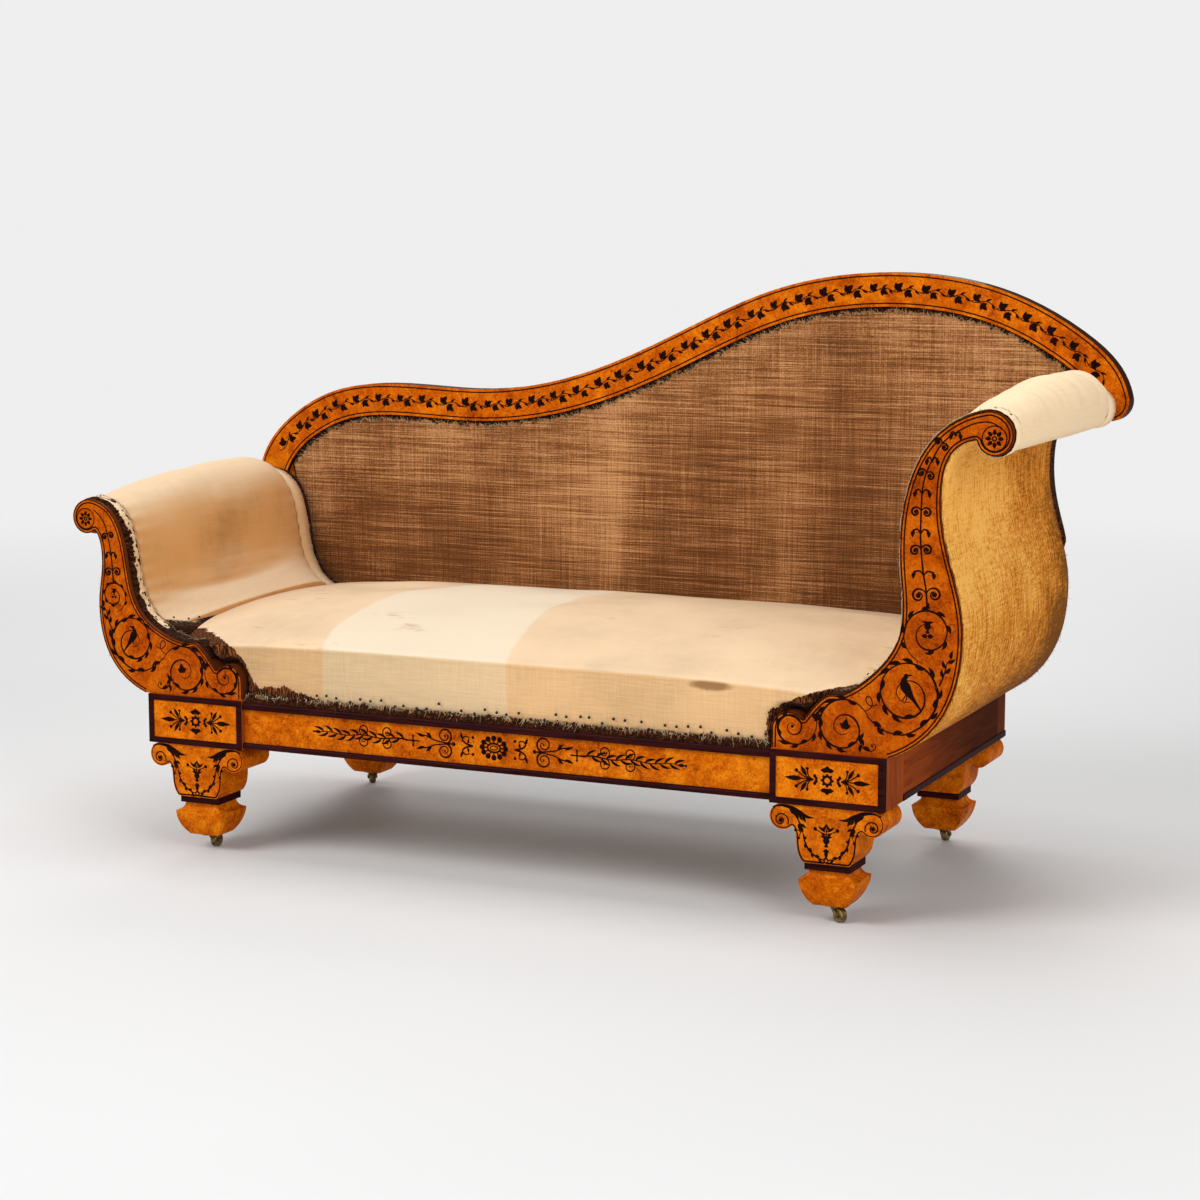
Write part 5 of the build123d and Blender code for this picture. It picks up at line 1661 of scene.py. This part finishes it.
def frayed_canvas():
    """The canvas's upper edge under the crest: a dark folded strip, which is also painted shadow for the gap
    under the crest, tacks and loose threads.
    """
    chance = np.random.default_rng(SEED + 11)
    path = even(crest_edge()[0], 2.0)
    crest_width = 59.5
    under = even((path - beside(path) * crest_width)[24:-20], 3.0)
    out = beside(under)
    count = len(under)
    middle = (plinth_x, 0)
    at = limits("back_canvas")[0][1]
    fold = eased(chance.uniform(2.0, 9.0, count // 4), count) + chance.uniform(0, 2.0, count)
    rows = np.stack([under + out * 2.0, under - out * (0.45 * fold)[:, None], under - out * fold[:, None]], 1)
    depth = at - np.stack(np.broadcast_arrays(0.6, chance.uniform(1.4, 2.8, count), 0.5), 1)
    # Painted shadow: this dark strip along the crest's lower edge stands in for the shade in the gap there,
    # as well as the canvas's fold.
    hem = put_sheet("back_canvas_fold_painted_shadow", at_depth(rows + middle, depth), stuffing_finish(), 0.8)
    count = 2300
    run = along(under)
    pick = np.sort(chance.uniform(0, run[-1], count))
    spot, lift, deep = (sampled(pick, run, part) for part in (under, out, fold[:, None]))
    spot = spot - lift * (deep + chance.uniform(-1.0, 4.0, (count, 1)))
    lengths = sizes().fringe_length / MM * chance.uniform(0.3, 1.0, count)
    fringe = threads(
        "back_canvas_fray", at_depth(spot + middle, at - 0.8), at_depth(lift * 0.9, -0.3), lengths,
        thread_finish("scrim_threads", SCRIM_THREAD), SEED + 12, 1.0)
    spots = even(under, 30.0)
    lower = spots - beside(spots) * 6.0 + middle
    tack_heads("back_canvas_tacks", at_depth(lower, at - 1.8), (0.0, -1.0, 0.0), 2.2)
    return [hem, fringe]


def frayed_covers():
    """Loose golden threads along the front and rear edges of each arm's outer cover."""
    for word, side in SIDES.items():
        chance = np.random.default_rng(SEED + 31 + side)
        path = even(outer_line(word), 4.0)[3:-4]
        outward = -beside(path)
        run = along(path)
        count = int(run[-1] * 1.2)
        pick = chance.uniform(0, run[-1], count)
        spot, lift = sampled(pick, run, path), sampled(pick, run, outward)
        front = chance.uniform(0, 1, count) < 0.5
        depth = np.where(front, board_front + 7.0, rear_board_front + 28.0)
        flat = arm_points(word, spot + lift)
        turn = arm_points(word, spot + lift * 2.0) - flat
        ways = at_depth(turn * 0.3, np.where(front, -1.0, 1.0))
        lengths = 0.4 * sizes().fringe_length / MM * chance.uniform(0.4, 1.2, count)
        threads(
            f"{word}_arm_hessian_fray", at_depth(flat, depth), ways, lengths,
            thread_finish("hessian_threads", darker(colours().golden, 0.8)), SEED + 41 + side)


def coat(node, material):
    """Give a CAD node one material."""
    slots = nodes[node].data.materials
    slots.clear()
    slots.append(material)


class DAYBED_OT_wood(bpy.types.Operator):
    """Veneer, dark mouldings and plain wood on the CAD pieces."""

    bl_idname = "daybed.wood"
    bl_label = "Wood finishes"

    def execute(self, context):
        woods = wood_finishes()
        coat("front_seat_rail", woods["veneer"])
        for corner in CORNERS:
            coat(f"{corner}_foot_capital", woods["veneer"])
            coat(f"{corner}_foot_base", woods["veneer"])
            coat(f"{corner}_foot_collar", woods["dark"])
        coat("crest_rail", woods["crest"])
        for word in SIDES:
            coat(f"{word}_arm_front_board", woods["boards"])
            coat(f"front_{word}_block", woods["blocks"])
            coat(f"front_{word}_block_frame", woods["dark"])
            coat(f"{word}_end_moulding", woods["dark"])
            coat(f"{word}_end_rail", woods["rail"])
            coat(f"{word}_arm_back_board", woods["plain"])
            coat(f"{word}_arm_roll_bar", woods["plain"])
        for edge in ("top", "bottom"):
            coat(f"front_rail_{edge}_moulding", woods["dark"])
        for node in ("back_seat_rail", "back_lower_rail", "corner_braces", "seat_stretcher"):
            coat(node, woods["plain"])
        return {"FINISHED"}


class DAYBED_OT_metal(bpy.types.Operator):
    """Aged brass castors, iron tacks and screws."""

    bl_idname = "daybed.metal"
    bl_label = "Metal finishes"

    def execute(self, context):
        brass = brass_finish()
        for corner in CORNERS:
            for piece in ("plate", "horn", "axle", "wheel"):
                coat(f"{corner}_castor_{piece}", brass)
        for node in ("upholstery_tacks", "castor_screws"):
            coat(node, iron_finish())
        return {"FINISHED"}


class DAYBED_OT_seat(bpy.types.Operator):
    """The stuffed seat and the webbing under it."""

    bl_idname = "daybed.seat"
    bl_label = "Seat"

    def execute(self, context):
        seat_pad_piece()
        webbing_piece()
        hem_strip()
        frayed_seat()
        return {"FINISHED"}


class DAYBED_OT_arms(bpy.types.Operator):
    """Arm pads, their frayed edges and the cloth on the outside of the arms."""

    bl_idname = "daybed.arms"
    bl_label = "Arm upholstery"

    def execute(self, context):
        for word in SIDES:
            arm_pad_piece(word)
            outer_cover_piece(word)
            frayed_arm(word)
            muslin_edge(word, False)
            muslin_edge(word, True)
            arm_foot(word)
        frayed_covers()
        return {"FINISHED"}


class DAYBED_OT_back(bpy.types.Operator):
    """The back canvas, its frayed edge and the cover behind it."""

    bl_idname = "daybed.back"
    bl_label = "Back upholstery"

    def execute(self, context):
        trims = frayed_canvas()
        at = limits("back_canvas")[0][1] + 0.6
        front = back_sheet_piece("back_canvas", "back_scrim", canvas_finish(), at, 1, 2.0)
        cover = plain_cloth_finish("back_linen", LINEN, 420.0)
        at = limits("back_cover")[1][1] - 0.4
        rear = back_sheet_piece("back_cover", "back_linen", cover, at, -1, 0.0)
        for word in SIDES:
            back_end_piece(word, front[word], rear[word], stuffing_finish())
        return {"FINISHED"}


class DAYBED_OT_inlay(bpy.types.Operator):
    """Dark ornament on the arms, the crest, the front rail, the blocks and the feet."""

    bl_idname = "daybed.inlay"
    bl_label = "Inlay"

    def execute(self, context):
        for word in SIDES:
            arm_ornament(word)
            block_ornament(word)
            foot_ornament(word)
        crest_ornament()
        rail_ornament()
        return {"FINISHED"}


class DAYBED_OT_stage(bpy.types.Operator):
    """Pale floor, soft studio light and the camera."""

    bl_idname = "daybed.stage"
    bl_label = "Stage"

    def execute(self, context):
        self.floor(context)
        self.lights(context)
        self.camera(context)
        context.scene.view_settings.view_transform = "Standard"
        return {"FINISHED"}

    def floor(self, context):
        """A wide level disc that fades into the same pale world."""
        turn = np.linspace(0, 2 * math.pi, 65)[:-1]
        points = np.stack([np.cos(turn), np.sin(turn), np.zeros(64)], 1) * 40.0
        mesh = bpy.data.meshes.new("studio_floor")
        mesh.from_pydata(points.tolist(), [], [list(range(64))])
        finish = Finish("studio_floor")
        tone = finish.noise(1.3, 2.0)
        pale = colours().floor
        finish.done(
            Base_Color=finish.ramp(tone, [(0.3, darker(pale, 0.98)), (0.7, pale)]), Roughness=0.7,
            Specular_IOR_Level=0.15)
        radius = finish.add("ShaderNodeVectorMath", {"operation": "LENGTH"}, {0: finish.place}, "Value")
        glow = finish.add("ShaderNodeEmission", {}, {"Color": (1.0, 1.0, 1.0), "Strength": 0.86})
        lit = Term(finish, finish.shader.outputs[0])
        mixed = finish.add("ShaderNodeMixShader", {}, {0: radius.over(3.4, 2.0), 1: lit, 2: glow})
        output = next(node for node in finish.tree.nodes if node.type == "OUTPUT_MATERIAL")
        finish.feed(output, {"Surface": mixed})
        mesh.materials.append(finish.material)
        floor = bpy.data.objects.new("studio_floor", mesh)
        context.scene.collection.objects.link(floor)

    def lights(self, context):
        """A large soft key from the upper left, a fill from the right and an even world."""
        for name, place, aim, width, power in (
            ("key_light", (-2.3, -3.4, 3.4), (0.0, 0.0, 0.45), 2.6, 150.0),
            ("fill_light", (3.6, -2.6, 2.2), (0.2, 0.0, 0.4), 2.4, 85.0),
            ("top_light", (0.0, 0.6, 4.4), (0.0, 0.0, 0.4), 2.8, 60.0),
            ("rear_light", (-1.5, 4.0, 2.6), (0.0, 0.0, 0.5), 2.4, 70.0),
        ):
            lamp = bpy.data.lights.new(name, "AREA")
            lamp.shape, lamp.size, lamp.energy = "SQUARE", width, power
            holder = bpy.data.objects.new(name, lamp)
            context.scene.collection.objects.link(holder)
            holder.location = place
            way = np.array(aim) - np.array(place)
            flat = math.hypot(way[0], way[1])
            holder.rotation_euler = (math.atan2(flat, -way[2]), 0.0, math.atan2(-way[0], way[1]))
        world = bpy.data.worlds.new("studio_world")
        context.scene.world = world
        world.use_nodes = True
        tree = world.node_tree
        back = next(node for node in tree.nodes if node.type == "BACKGROUND")
        path = tree.nodes.new("ShaderNodeLightPath")
        level = tree.nodes.new("ShaderNodeMapRange")
        level.inputs["To Min"].default_value = 0.36
        level.inputs["To Max"].default_value = 0.86
        tree.links.new(path.outputs["Is Camera Ray"], level.inputs["Value"])
        tree.links.new(level.outputs[0], back.inputs["Strength"])
        back.inputs["Color"].default_value = (1.0, 1.0, 1.0, 1.0)

    def camera(self, context):
        """The camera fitted to the photograph: 79 mm on a 36 mm sensor, turned 25 and tipped 8 degrees."""
        lens = bpy.data.cameras.new("photo_camera")
        lens.lens, lens.sensor_width = 79.13, 36.0
        lens.clip_end = 200.0
        holder = bpy.data.objects.new("photo_camera", lens)
        context.scene.collection.objects.link(holder)
        holder.location = (1.8887 + plinth_x * MM, -4.0428, 1.0828)
        holder.rotation_euler = (math.radians(81.66), 0.0, math.radians(24.58))
        context.scene.camera = holder


class DAYBED_PT_panel(bpy.types.Panel):
    """The day bed's pieces, in the order in which they are made."""

    bl_idname = "DAYBED_PT_panel"
    bl_label = "Day bed"
    bl_space_type = "VIEW_3D"
    bl_region_type = "UI"
    bl_category = "Day bed"

    def draw(self, context):
        for operator in OPERATORS:
            self.layout.operator(operator.bl_idname)
        for group in (context.scene.day_bed_sizes, context.scene.day_bed_colours):
            for name in group.bl_rna.properties.keys():
                if name not in ("rna_type", "name"):
                    self.layout.prop(group, name)


OPERATORS = (
    DAYBED_OT_wood, DAYBED_OT_metal, DAYBED_OT_seat, DAYBED_OT_arms, DAYBED_OT_back, DAYBED_OT_inlay,
    DAYBED_OT_stage,
)
CLASSES = (DayBedSizes, DayBedColours, *OPERATORS, DAYBED_PT_panel)


def register():
    """Register the classes and hang the settings on the scene."""
    for kind in CLASSES:
        bpy.utils.register_class(kind)
    bpy.types.Scene.day_bed_sizes = bpy.props.PointerProperty(type=DayBedSizes)
    bpy.types.Scene.day_bed_colours = bpy.props.PointerProperty(type=DayBedColours)


def unregister():
    """Take the settings and the classes away again."""
    del bpy.types.Scene.day_bed_colours
    del bpy.types.Scene.day_bed_sizes
    for kind in reversed(CLASSES):
        bpy.utils.unregister_class(kind)


def main():
    """Make every piece in order."""
    register()
    bpy.ops.daybed.wood()
    bpy.ops.daybed.metal()
    bpy.ops.daybed.seat()
    bpy.ops.daybed.arms()
    bpy.ops.daybed.back()
    bpy.ops.daybed.inlay()
    bpy.ops.daybed.stage()


if __name__ == "__main__":
    main()
